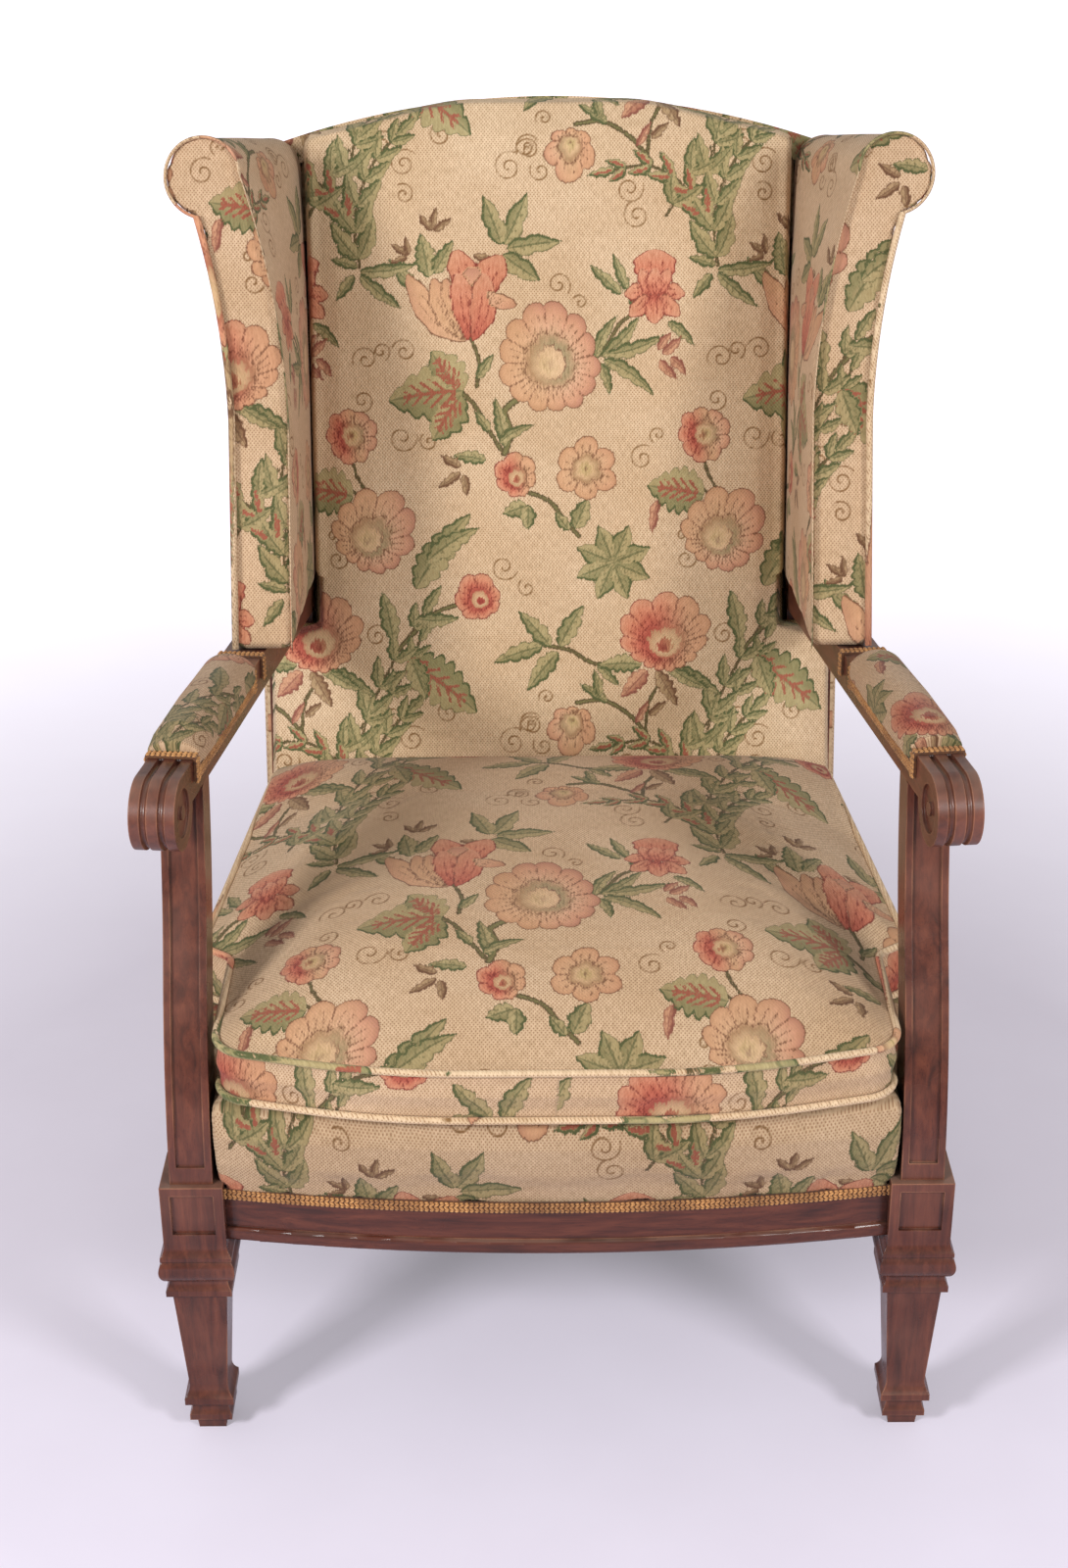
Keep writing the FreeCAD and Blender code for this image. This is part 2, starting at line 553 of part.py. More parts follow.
for side, sign in SIDES.items():
    front_leg(side, sign)
    side_rail(side, sign)
    rear_post(side, sign)
    arm(side, sign)
    arm_post(side, sign)
front_rail()
back_seat_rail()
back_frame_rail("crest_rail", CREST_FOOT, "back_height", (CREST_SIDE, CREST_MIDDLE))
back_frame_rail("lower_back_rail", "lower_rail_low", "lower_rail_high")


# Soft forms: closed wires of lines and arcs, lofted straight from one to the next

def rounded(points, radii):
    """Closed wire through flat corner points, each corner turned by a tangent arc."""
    count = len(points)
    tangents = []
    for index, point in enumerate(points):
        before = (points[index - 1] - point).normalize()
        after = (points[(index + 1) % count] - point).normalize()
        half = before.getAngle(after) / 2
        reach = radii[index] / math.tan(half)
        bisector = (before + after).normalize()
        deepest = point + bisector * (radii[index] / math.sin(half) - radii[index])
        tangents.append((point + before * reach, deepest, point + after * reach))
    edges = []
    for index, (first, deepest, last) in enumerate(tangents):
        edges.append(Part.Arc(first, deepest, last).toShape())
        edges.append(Part.LineSegment(last, tangents[(index + 1) % count][0]).toShape())
    return Part.Wire(edges)


def loft(wires):
    return Part.makeLoft(wires, True, True)


def prism(points, along):
    return Part.Face(Part.makePolygon(points + points[:1])).extrude(along)


def tube(path, radius):
    """Round cord along a wire."""
    start = path.OrderedEdges[0]
    ring = Part.makeCircle(radius, start.valueAt(start.FirstParameter), start.tangentAt(start.FirstParameter))
    return path.makePipeShell([Part.Wire([ring])], True, False)


def side_line(y, shift):
    """Half width of the side rails' outer faces at a depth, plus a shift."""
    share = (y - block_rear) / s.seat_depth
    return side_front_x + (side_rear_x - side_front_x) * share + shift


def bow_strip(half, shift, rear, z):
    """Flat strip behind the front rail's bow, its front moved back by a shift."""
    radius = number(BOW_RADIUS)
    crown = block_front + s.rail_recess - s.rail_bow + shift
    end = crown + radius - math.sqrt(radius ** 2 - half ** 2)
    corners = [Vector(-half, end, z), Vector(half, end, z), Vector(half, rear, z), Vector(-half, rear, z)]
    runs = [Part.LineSegment(a, b).toShape() for a, b in zip(corners[1:], corners[2:] + corners[:1])]
    return Part.Wire([Part.Arc(corners[0], Vector(0, crown, z), corners[1]).toShape()] + runs)


post_rear = block_front + s.post_setback + s.post_depth
post_slope = s.post_lean / (s.arm_pivot_height - block_top)
deck_front = post_rear + (s.deck_height - block_top) * post_slope


def front_border():
    """Stuffed band along the seat's front, tucked into the rail's rebate and rolled back at its top."""
    half = s.leg_spacing / 2 - s.post_width / 2 - s.post_clear
    rise = s.deck_height - rebate_level
    lip = s.gimp_width / 2
    steps = [(0, 0), (lip, 0), (rise * 0.35, 0.7), (rise * 0.65, 1), (rise * 0.88, 0.4), (rise, -2)]

    def section(up, bulge):
        inset = max(0, -bulge) * s.border_roll / 2
        return bow_strip(half - inset, s.cloth_gap - bulge * s.border_bulge, deck_front, rebate_level + up)

    border = loft([section(*step) for step in steps])
    behind = deck_front + s.block_width
    rail = bow_strip(number(BLOCK_INNER), s.rebate_depth - s.cloth_gap, behind, rail_bottom)
    border = border.cut(Part.Face(rail).extrude(Vector(0, 0, block_top + s.cloth_gap - rail_bottom)))
    for sign in SIDES.values():
        width = s.block_width + 2 * s.cloth_gap
        block = Part.makeBox(width, width, block_top + s.cloth_gap,
                             Vector((sign * s.leg_spacing - width) / 2, block_front - s.cloth_gap, 0))
        border = border.cut(block)
    keep("seat_front_border", feature("front_border", border))


def side_border(side, sign):
    """Stuffed band along a side rail, from behind the arm post to the rear post."""
    rear = post_front - s.cloth_gap
    rise = s.deck_height - rebate_level
    lip = s.gimp_width / 2
    steps = [(0, 0), (lip, 0), (rise * 0.4, 0.8), (rise * 0.7, 1), (rise * 0.9, 0.2), (rise, -2)]

    def section(up, bulge):
        front = max(block_rear, post_rear + (rebate_level + up - block_top) * post_slope) + s.cloth_gap
        outer = bulge * s.side_bulge
        corners = [(front, outer), (rear, outer), (rear, -s.side_rail_width), (front, -s.side_rail_width)]
        points = [Vector(sign * side_line(y, shift), y, rebate_level + up) for y, shift in corners]
        return Part.makePolygon(points + points[:1])

    border = loft([section(*step) for step in steps])
    corners = [(block_rear, s.cloth_gap - s.rebate_depth), (post_front, s.cloth_gap - s.rebate_depth),
               (post_front, -s.side_rail_width * 2), (block_rear, -s.side_rail_width * 2)]
    under = prism([Vector(sign * side_line(y, shift), y, 0) for y, shift in corners],
                  Vector(0, 0, block_top + s.cloth_gap))
    keep(f"seat_side_border_{side}", feature(f"side_border_{side}", border.cut(under)))


def inside_seat(z, thick, shift, front, rear):
    """Flat slab over the seat opening, following the toed-in rails."""
    points = [Vector(sign * side_line(y, shift), y, z)
              for sign, y in ((-1, front), (1, front), (1, rear), (-1, rear))]
    return prism(points, Vector(0, 0, thick))


def seat_inside():
    """Webbing under the rails, springs on it, hessian over them, stuffing on top, dust cloth below."""
    rail_rear = number(RAIL_BACK)
    back_rail = post_front + s.back_rail_inset
    near = deck_front + s.cloth_gap
    deck_rear = post_front - s.back_pad - s.cover_thick
    inner = -s.side_rail_width - s.cloth_gap
    strips = []
    for lane in (-1, 0, 1):
        x = lane * s.spring_pitch_x
        start = rail_rear - s.rail_depth / 2
        strips.append(Part.makeBox(s.web_width, back_rail + s.back_rail_depth / 2 - start, s.web_thick,
                                   Vector(x - s.web_width / 2, start, rail_bottom - s.web_thick)))
    middle = (rail_rear + back_rail) / 2
    for lane in (-1, 0, 1):
        y = middle + lane * s.spring_pitch_y
        half = side_line(y, -s.side_rail_width / 2)
        strips.append(Part.makeBox(2 * half, s.web_width, s.web_thick,
                                   Vector(-half, y - s.web_width / 2, rail_bottom - 2 * s.web_thick)))
    keep("seat_webbing", feature("webbing", Part.makeCompound(strips)))
    coils = [coil(Vector(across * s.spring_pitch_x, middle + along * s.spring_pitch_y, rail_bottom))
             for across in (-1, 0, 1) for along in (-1, 0, 1)]
    keep("seat_springs", feature("springs", Part.makeCompound(coils)))
    sheet = inside_seat(hessian_level, s.hessian_thick, inner, near, deck_rear)
    keep("seat_hessian", feature("hessian", sheet))
    base = hessian_level + s.hessian_thick
    stuffing = inside_seat(base, s.deck_height - base, inner, near, deck_rear)
    keep("seat_stuffing", feature("stuffing", stuffing))
    leg_half = max(s.crown_width, s.torus_flat + s.torus_height / 2, s.block_width) / 2 + s.dust_inset / 4
    leg_inner = s.leg_spacing / 2 - leg_half
    leg_rear = block_front + s.block_width / 2 + leg_half
    post_inner = number(POST_INNER) - s.dust_inset / 4
    post_near = post_front - s.dust_inset / 4
    level = rail_bottom - 3 * s.web_thick
    half = [(leg_inner, rail_rear - s.rail_depth + s.dust_inset), (leg_inner, leg_rear),
            (side_line(leg_rear, -s.dust_inset), leg_rear), (side_line(post_near, -s.dust_inset), post_near),
            (post_inner, post_near), (post_inner, back_rail + s.dust_inset)]
    flat = [Vector(x, y, level) for x, y in half + [(-x, y) for x, y in reversed(half)]]
    keep("dust_cover", feature("dust", prism(flat, Vector(0, 0, s.web_thick))))
    braces = []
    for sign in SIDES.values():
        for rail, toward, size in ((rail_rear, 1, s.block_width), (back_rail, -1, s.rear_post_width)):
            near = rail + toward * size
            far = near + toward * s.brace_width
            start = side_line(near, -s.side_rail_width)
            points = [(start - size - s.brace_width, rail), (start - size, rail),
                      (start, near), (side_line(far, -s.side_rail_width), far)]
            braces.append(prism([Vector(sign * x, y, rail_bottom + s.brace_rise) for x, y in points],
                                Vector(0, 0, s.brace_height)))
    keep("corner_blocks", feature("braces", Part.makeCompound(braces)))


def coil(foot):
    """Waisted upholstery spring: half-turn arcs that climb, wide at both ends and narrow in the middle."""
    rise = hessian_level - foot.z - s.spring_wire
    halves = int(2 * s.spring_turns)

    def spot(step):
        share = step / halves
        radius = s.spring_waist + (s.spring_base - s.spring_waist) * abs(2 * share - 1)
        angle = math.pi * step
        climb = foot.z + s.spring_wire / 2 + rise * share
        return Vector(foot.x + radius * math.cos(angle), foot.y + radius * math.sin(angle), climb)

    arcs = [Part.Arc(spot(step), spot(step + 0.5), spot(step + 1)).toShape() for step in range(halves)]
    path = Part.Wire(arcs)
    ring = Part.makeCircle(s.spring_wire / 2, spot(0), arcs[0].tangentAt(arcs[0].FirstParameter))
    return path.makePipeShell([Part.Wire([ring])], True, False)


def gimps():
    """Woven braid glued over the edge of the cloth along the three show rails."""
    low = rebate_level - s.gimp_width / 2
    inner = number(BLOCK_INNER) - s.cloth_gap
    rear = block_front + s.seat_depth
    front, back = (Part.Face(bow_strip(inner, shift, rear, low)) for shift in (-s.gimp_thick, 0))
    bands = [front.cut(back).extrude(Vector(0, 0, s.gimp_width))]
    for sign in SIDES.values():
        corners = [(block_rear, s.gimp_thick), (post_front, s.gimp_thick), (post_front, 0), (block_rear, 0)]
        bands.append(prism([Vector(sign * side_line(y, shift), y, low) for y, shift in corners],
                           Vector(0, 0, s.gimp_width)))
    keep("seat_gimp", feature("gimp", Part.makeCompound(bands)))


def cushion_wire(inset, rise, lean):
    """T-shaped plan of the cushion, drawn in by an inset; flat below and rising to the rear above."""
    front = block_front - s.cushion_front + inset
    neck = s.cushion_neck - inset
    bow = front + s.cushion_bow * neck / s.cushion_neck
    notch = block_front + s.cushion_shoulder_back
    rear = block_front + s.cushion_back - inset - lean
    half = [(neck / 2, front), (neck, bow), (neck, notch - s.post_depth / 2 + inset),
            (s.cushion_shoulder - inset, notch + inset), (s.cushion_rear - inset, rear)]
    turns = [neck * 2, s.cushion_corner, s.cushion_notch_inner, s.cushion_notch_outer, s.cushion_heel]
    flat = half + [(-x, y) for x, y in reversed(half)]
    base = s.deck_height + s.cloth_gap + s.pipe_radius + rise
    slope = s.cushion_slope * min(1, max(0, rise / s.cushion_boxing))
    points = [Vector(x, y, base + slope * (y - block_front)) for x, y in flat]
    return rounded(points, turns + turns[::-1])


def seat_cushion():
    """Loose boxed cushion: drawn-in seams, bulging boxing and a crowned top, corded along both seams."""
    seam = s.seam_inset
    top = s.cushion_boxing
    crown = s.cushion_crown
    lean = s.back_crown + s.seam_inset
    bottom_seam = (seam, 0, lean)
    top_seam = (seam, top, 0)
    layers = [(seam + s.cushion_corner, -s.pipe_radius, lean), bottom_seam, (0, top / 2, lean / 2), top_seam]
    layers += [(s.cushion_dome * share, top + crown * rise, 0)
               for share, rise in ((0.16, 0.2), (0.42, 0.56), (0.7, 0.86), (1, 1))]
    keep("seat_cushion", feature("cushion", loft([cushion_wire(*layer) for layer in layers])))
    stand = (s.pipe_radius + s.cloth_gap) * math.hypot(top / 2, seam + lean / 2) / (top / 2)
    seams = {"cushion_piping_bottom": bottom_seam, "cushion_piping_top": top_seam}
    for label, (inset, rise, lean) in seams.items():
        path = cushion_wire(inset - stand, rise, lean)
        keep(label, feature(label, tube(path, s.pipe_radius)))


front_border()
seat_inside()
gimps()
seat_cushion()
for side, sign in SIDES.items():
    side_border(side, sign)

back_place = Placement(Vector(0, post_front, s.rake_start), Rotation(X_AXIS, -s.rake_angle))


def arch_height(x, side, middle, half):
    """Height of a shallow arch at x, from its height at half and in the middle."""
    radius = (half ** 2 + (middle - side) ** 2) / (2 * (middle - side))
    return middle - radius + math.sqrt(radius ** 2 - x ** 2)


def arched_panel(half, low, high, y, thick):
    """Panel of the back between two heights; a height is flat or an arch."""
    def row(arch):
        if isinstance(arch, tuple):
            return [Vector(x, y, arch_height(x, *arch)) for x in (-half, 0, half)]
        return [Vector(-half, y, arch), None, Vector(half, y, arch)]

    def run(points):
        if points[1] is None:
            return Part.LineSegment(points[0], points[2]).toShape()
        return Part.Arc(*points).toShape()

    foot = row(low)
    head = row(high)
    wire = Part.Wire([run(foot), Part.LineSegment(foot[2], head[2]).toShape(), run(head[::-1]),
                      Part.LineSegment(head[0], foot[0]).toShape()])
    return Part.Face(wire).extrude(Vector(0, thick, 0))


def back_upholstery():
    """Webbing and hessian on the back frame, the crowned inside pad, the crest pad and the outside cloth."""
    inner = number(POST_INNER)
    outer = s.rear_post_spacing / 2 + s.rear_post_width / 2 + s.cover_thick
    web = s.web_thick
    strips = []
    for lane in (-1, 0, 1):
        low = s.lower_rail_low + s.tenon_inset
        strips.append(Part.makeBox(s.web_width, web, crest_foot + s.tenon_inset - low + s.web_width / 2,
                                   Vector(lane * s.spring_pitch_x - s.web_width / 2, s.crest_set - web, low)))
    for lane in (-1, 0, 1):
        middle = (s.lower_rail_high + crest_foot) / 2
        z = middle + lane * s.spring_pitch_x - s.web_width / 2
        strips.append(Part.makeBox(2 * inner + s.rear_post_width, web, s.web_width,
                                   Vector(-inner - s.rear_post_width / 2, -web, z)))
    keep("back_webbing", feature("back_web", Part.makeCompound(strips), back_place))
    sheet = Part.makeBox(2 * s.back_waist, s.hessian_thick, crest_side - s.back_sill,
                         Vector(-s.back_waist, -web - s.hessian_thick, s.back_sill))
    keep("back_hessian", feature("back_sheet", sheet, back_place))

    sine = math.sin(math.radians(s.rake_angle))
    cosine = math.cos(math.radians(s.rake_angle))
    slope = math.tan(math.radians(s.arm_pitch))
    deepest = s.back_pad + s.back_crown
    arm_under = s.arm_pivot_height - s.arm_depth / math.cos(math.radians(s.arm_pitch)) - s.arm_clear
    behind = post_front - deepest * cosine - block_front - s.arm_pivot
    step = (arm_under - s.rake_start - deepest * sine - behind * slope) / (cosine + sine * slope)

    def pad_wire(inset, depth):
        crest = arch_side - inset
        waist = s.back_waist - inset
        arch = (arch_middle - arch_side) * waist / s.back_waist
        half = [(s.back_lower - inset, s.back_sill + inset),
                (s.back_lower - inset, step - s.back_corner - inset), (waist, step - inset),
                (waist, crest), (waist * 0.4, crest + arch)]
        turns = [s.back_corner, s.back_step_round, s.back_step_round, s.back_corner, waist]
        flat = half + [(-x, z) for x, z in reversed(half)]
        return rounded([Vector(x, depth, z) for x, z in flat], turns + turns[::-1])

    base = -web - s.hessian_thick - s.cloth_gap
    face = -s.back_pad
    layers = [(s.seam_inset, base), (0, face * 0.6), (s.seam_inset, face),
              (s.back_dome * 0.45, face - s.back_crown * 0.6), (s.back_dome, face - s.back_crown)]
    keep("inside_back", feature("back_pad_solid", loft([pad_wire(*layer) for layer in layers]), back_place))
    arch = (arch_side, arch_middle, s.back_waist)
    raised = (crest_side + s.cloth_gap, crest_middle + s.cloth_gap, inner)
    crest = arched_panel(outer, raised, arch, base + s.cloth_gap, frame_depth - base - s.cloth_gap)
    keep("crest_pad", feature("crest_pad_solid", crest, back_place))
    sill = s.rear_post_depth * sine + s.cover_thick
    cloth = arched_panel(outer, sill, arch, frame_depth + s.cloth_gap, s.cover_thick)
    keep("outside_back", feature("outside_cloth", cloth, back_place))
    cover_top = arch_height(outer, *raised) - s.cloth_gap
    for side, sign in SIDES.items():
        x = sign * (outer - s.cover_thick / 2) - s.cover_thick / 2
        strip = Part.makeBox(s.cover_thick, frame_depth, cover_top, Vector(x, 0, 0))
        keep(f"back_side_cover_{side}", feature(f"side_cover_{side}", strip, back_place))
        start = Vector(sign * (outer + s.cloth_gap + s.pipe_radius), frame_depth - s.pipe_radius,
                       s.cover_thick)
        finish = Vector(start.x, start.y, cover_top - s.cover_thick)
        cord = tube(Part.Wire([Part.LineSegment(start, finish).toShape()]), s.pipe_radius)
        keep(f"back_piping_{side}", feature(f"back_cord_{side}", cord, back_place))


def wing_outline(sign, foot, head, radius, depth):
    """Edges of a wing's outline, from its outer foot up, round its rolled head and down its inner edge."""
    def at(x, z):
        return Vector(sign * x, depth(z), z)

    def round_head(angle):
        turn = math.radians(angle)
        return at(head[0] + radius * math.cos(turn), head[1] + radius * math.sin(turn))

    def sweep(start, end):
        """Gentle outward sweep between the straight foot of the wing and its head."""
        sag = s.wing_sweep * abs(end.x - start.x)
        return Part.Arc(start, (start + end) / 2 - Vector(sign * sag, 0, 0), end).toShape()

    nape = round_head(-80)
    crown = round_head(50)
    brow = round_head(175)
    outer_flare = at(s.wing_outer, s.wing_flare)
    inner_flare = at(s.wing_inner, s.wing_flare)
    return [
        Part.LineSegment(at(s.wing_outer, foot), outer_flare).toShape(),
        sweep(outer_flare, nape),
        Part.Arc(nape, round_head(0), crown).toShape(),
        Part.Arc(crown, round_head(110), brow).toShape(),
        sweep(brow, inner_flare),
        Part.LineSegment(inner_flare, at(s.wing_inner, foot)).toShape(),
    ]


def wing(side, sign):
    """Wing: stuffed loft from its corded front edge to the back, over an upright and a top rail."""
    lean = math.tan(math.radians(s.wing_lean))
    rake = math.tan(math.radians(s.rake_angle))
    front_y = block_front + s.wing_front

    slope = math.tan(math.radians(s.arm_pitch))
    clear = s.arm_pivot_height + s.wing_clear
    front_foot = clear - (s.wing_front - s.arm_pivot) * slope

    def front_depth(z):
        return front_y + (z - front_foot) * lean

    def post_face(z):
        return post_front + (z - s.rake_start) * rake

    packing = (s.web_thick + s.hessian_thick + s.cloth_gap) / math.cos(math.radians(s.rake_angle))

    def rear_depth(z):
        return post_face(z) - packing

    rear_foot = (clear - (rear_depth(0) - block_front - s.arm_pivot) * slope) / (1 + rake * slope)
    head = (s.wing_head_x, post_top + s.wing_head_rise)
    rear_head = (s.wing_rear_head_x, post_top + s.wing_rear_head_rise)
    front = wing_outline(sign, front_foot, head, s.wing_head_radius, front_depth)
    rear = wing_outline(sign, rear_foot, rear_head, s.wing_rear_head_radius, rear_depth)
    wires = []
    for edges in (front, rear):
        first = edges[0].valueAt(edges[0].FirstParameter)
        last = edges[-1].valueAt(edges[-1].LastParameter)
        wires.append(Part.Wire(edges + [Part.LineSegment(last, first).toShape()]))
    stuffing = loft(wires)

    foot_x = (s.wing_inner + s.wing_outer) / 2 - s.wing_inset / 3
    head_x = s.wing_head_x - s.wing_head_radius
    top = head[1] - s.wing_rail_height - s.wing_inset

    def board_x(z):
        return foot_x + (head_x - foot_x) * (z - front_foot) / (top - front_foot)

    def front_edge(z):
        return front_depth(z) + s.wing_inset

    def cross(low, depth, middle):
        """Cross-section of a frame board between a height and the top, at a depth that follows the height."""
        ring = [Vector(sign * (middle(z) + turn * s.wing_board / 2), depth(z), z)
                for turn, z in ((-1, low), (1, low), (1, top), (-1, top))]
        return Part.makePolygon(ring + ring[:1])

    def upright_rear(z):
        return front_edge(z) + s.wing_upright_width

    foot = front_foot + s.wing_inset / 2
    upright = loft([cross(foot, front_edge, board_x), cross(foot, upright_rear, board_x)])
    rail_low = top - s.wing_rail_height
    rail = loft([cross(rail_low, upright_rear, board_x), cross(rail_low, post_face, lambda z: foot_x)])
    keep(f"wing_upright_{side}", feature(f"upright_{side}", upright))
    keep(f"wing_top_rail_{side}", feature(f"top_rail_{side}", rail))
    keep(f"wing_{side}", feature(f"wing_{side}_solid", stuffing.cut(upright).cut(rail)))
    normal = Vector(0, -1, lean).normalize()
    path = Part.Wire(front)
    path.translate(normal * (s.pipe_radius + s.cloth_gap))
    keep(f"wing_piping_{side}", feature(f"wing_cord_{side}", tube(path, s.pipe_radius)))


def arm_pad(side, sign):
    """Domed elbow pad wrapped over the arm, with braid across its ends and along its lower edges."""
    frame = arm_frame(sign)
    half = s.arm_width / 2

    def section(y, height, swell):
        outer = half + s.pad_wall + swell
        inner = half + s.cloth_gap
        low = -s.pad_skirt
        shoulder = height * 0.3
        line = [Vector(outer, y, low), Vector(outer, y, shoulder)]
        arch = Part.Arc(line[1], Vector(0, y, height), Vector(-outer, y, shoulder)).toShape()
        rest = [Vector(-outer, y, shoulder), Vector(-outer, y, low), Vector(-inner, y, low),
                Vector(-inner, y, s.cloth_gap), Vector(inner, y, s.cloth_gap), Vector(inner, y, low), line[0]]
        runs = [Part.LineSegment(a, b).toShape() for a, b in zip(rest, rest[1:])]
        return Part.Wire([Part.LineSegment(*line).toShape(), arch] + runs)

    span = s.pad_end - s.pad_start
    first = -s.pad_start
    stations = [(first, 0.5, -1.5), (first + 0.12 * (span + 2 * s.pad_start), 0.9, 0),
                (first + 0.5 * (span + 2 * s.pad_start), 1, 0.5), (s.pad_end - 0.12 * span, 0.9, 0),
                (s.pad_end, 0.5, -1.5)]
    shape = loft([section(y, share * s.pad_height, swell) for y, share, swell in stations])
    keep(f"arm_pad_{side}", feature(f"arm_pad_{side}_solid", shape, frame))
    gap = half + s.cloth_gap

    def saddle(near):
        """Braid folded over the arm like a saddle."""
        outer = gap + s.gimp_thick
        low = -s.pad_skirt - s.gimp_width
        ring = [Vector(outer, near, low), Vector(outer, near, s.cloth_gap + s.gimp_thick),
                Vector(-outer, near, s.cloth_gap + s.gimp_thick), Vector(-outer, near, low),
                Vector(-gap, near, low), Vector(-gap, near, s.cloth_gap),
                Vector(gap, near, s.cloth_gap), Vector(gap, near, low)]
        return prism(ring, Vector(0, s.gimp_width, 0))

    bands = [saddle(-s.pad_start - s.gimp_width - s.cloth_gap), saddle(s.pad_end + s.cloth_gap)]
    at_wing = s.wing_front - s.arm_pivot - 2 * s.pipe_radius - s.gimp_width - s.wing_clear
    keep(f"wing_gimp_{side}", feature(f"wing_gimp_{side}_solid", saddle(at_wing), frame))
    for turn in (-1, 1):
        bands.append(Part.makeBox(s.gimp_thick, s.pad_end + s.pad_start, s.gimp_width,
                                  Vector(turn * (gap + s.gimp_thick / 2) - s.gimp_thick / 2, -s.pad_start,
                                         -s.pad_skirt - s.gimp_width)))
    keep(f"arm_gimp_{side}", feature(f"arm_gimp_{side}_solid", Part.makeCompound(bands), frame))


back_upholstery()
for side, sign in SIDES.items():
    wing(side, sign)
    arm_pad(side, sign)

doc.recompute()

faults = [thing.Name for thing in doc.Objects if "Invalid" in thing.State or "Error" in thing.State]
faults += [label for label, piece in pieces.items() if piece.Shape.isNull() or not piece.Shape.isValid()]
if faults:
    raise RuntimeError(f"not built: {faults}")
os.makedirs("parts", exist_ok=True)
for label, piece in pieces.items():
    piece.Shape.exportStep(f"parts/{label}.step")
print(len(pieces), "pieces")
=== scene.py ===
import bmesh
import bpy
import math
import numpy as np
from mathutils import Matrix, Vector
from mathutils.bvhtree import BVHTree


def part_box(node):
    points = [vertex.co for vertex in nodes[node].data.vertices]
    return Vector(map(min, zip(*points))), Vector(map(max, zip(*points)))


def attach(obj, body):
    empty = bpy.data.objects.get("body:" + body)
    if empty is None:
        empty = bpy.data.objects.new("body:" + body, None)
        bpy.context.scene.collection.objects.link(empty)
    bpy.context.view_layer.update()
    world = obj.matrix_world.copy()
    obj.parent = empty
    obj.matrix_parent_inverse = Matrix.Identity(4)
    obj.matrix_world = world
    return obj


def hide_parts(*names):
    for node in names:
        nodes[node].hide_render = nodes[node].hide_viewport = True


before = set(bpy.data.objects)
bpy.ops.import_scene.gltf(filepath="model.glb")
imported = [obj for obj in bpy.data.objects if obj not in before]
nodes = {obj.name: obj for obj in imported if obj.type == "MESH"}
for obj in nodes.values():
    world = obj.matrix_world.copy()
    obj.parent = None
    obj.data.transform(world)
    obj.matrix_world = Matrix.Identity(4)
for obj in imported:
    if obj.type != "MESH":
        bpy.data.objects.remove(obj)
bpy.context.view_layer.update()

SIDES = {"left": -1, "right": 1}

# The studio: a pale paper floor that fades to white, lit by two soft boxes and the room,
# and a camera standing in front of the chair, a little above its back and looking down into the seat.


def colour(red, green, blue):
    """A colour read off a screen, 0 to 255, as linear light."""
    levels = [level / 255 for level in (red, green, blue)]
    return tuple(v / 12.92 if v <= 0.04045 else ((v + 0.055) / 1.055) ** 2.4 for v in levels) + (1.0,)


def wire(tree, kind, inputs=None, **settings):
    """Adds a node, with its settings, and fills its inputs with values or with other nodes' outputs."""
    made = tree.nodes.new(kind)
    for name, value in settings.items():
        setattr(made, name, value)
    for socket, value in (inputs or {}).items():
        if isinstance(value, bpy.types.NodeSocket):
            tree.links.new(value, made.inputs[socket])
        else:
            made.inputs[socket].default_value = value
    return made


def new_material(name):
    material = bpy.data.materials.new(name)
    material.use_nodes = True
    tree = material.node_tree
    shader = next(node for node in tree.nodes if node.type == "BSDF_PRINCIPLED")
    return material, tree, shader


def new_object(name, mesh):
    thing = bpy.data.objects.new(name, mesh)
    bpy.context.scene.collection.objects.link(thing)
    return thing


def mixed(tree, factor, first, second, blend="MIX"):
    made = wire(tree, "ShaderNodeMix", {0: factor, 6: first, 7: second}, data_type="RGBA", blend_type=blend)
    return made.outputs[2]


def number(tree, operation, first, second=0.0, clamp=False):
    made = wire(tree, "ShaderNodeMath", {0: first, 1: second}, operation=operation, use_clamp=clamp)
    return made.outputs[0]


def between(tree, value, start, end, low=0.0, high=1.0):
    """A value that goes from low to high as another one goes from start to end."""
    return wire(tree, "ShaderNodeMapRange", {"Value": value, 1: start, 2: end, 3: low, 4: high}).outputs[0]


def noise(tree, place, scale, detail):
    made = wire(tree, "ShaderNodeTexNoise", {"Vector": place, "Scale": scale, "Detail": detail})
    return made.outputs[0]


FLOOR_HALF = 30.0
floor_mesh = bpy.data.meshes.new("studio_floor")
floor_corners = [(x * FLOOR_HALF, y * FLOOR_HALF, 0.0) for x, y in ((-1, -1), (1, -1), (1, 1), (-1, 1))]
floor_mesh.from_pydata(floor_corners, [], [(0, 1, 2, 3)])
floor = new_object("studio_floor", floor_mesh)
paper, tree, shader = new_material("studio_paper")
rays = wire(tree, "ShaderNodeLightPath").outputs["Is Camera Ray"]
spot = wire(tree, "ShaderNodeTexCoord").outputs["Object"]
away = wire(tree, "ShaderNodeVectorMath", {0: spot}, operation="LENGTH").outputs["Value"]
scuffs = noise(tree, spot, 7.0, 5.0)
shader.inputs["Roughness"].default_value = 0.9
shader.inputs["Specular IOR Level"].default_value = 0.1
tone = mixed(tree, scuffs, colour(208, 200, 216), colour(216, 209, 225))
tree.links.new(tone, shader.inputs["Base Color"])
lift = between(tree, away, 0.7, 2.3, 0.17, 0.95)
tree.links.new(number(tree, "MULTIPLY", rays, lift), shader.inputs["Emission Strength"])
shader.inputs["Emission Color"].default_value = colour(250, 248, 255)
floor_mesh.materials.append(paper)

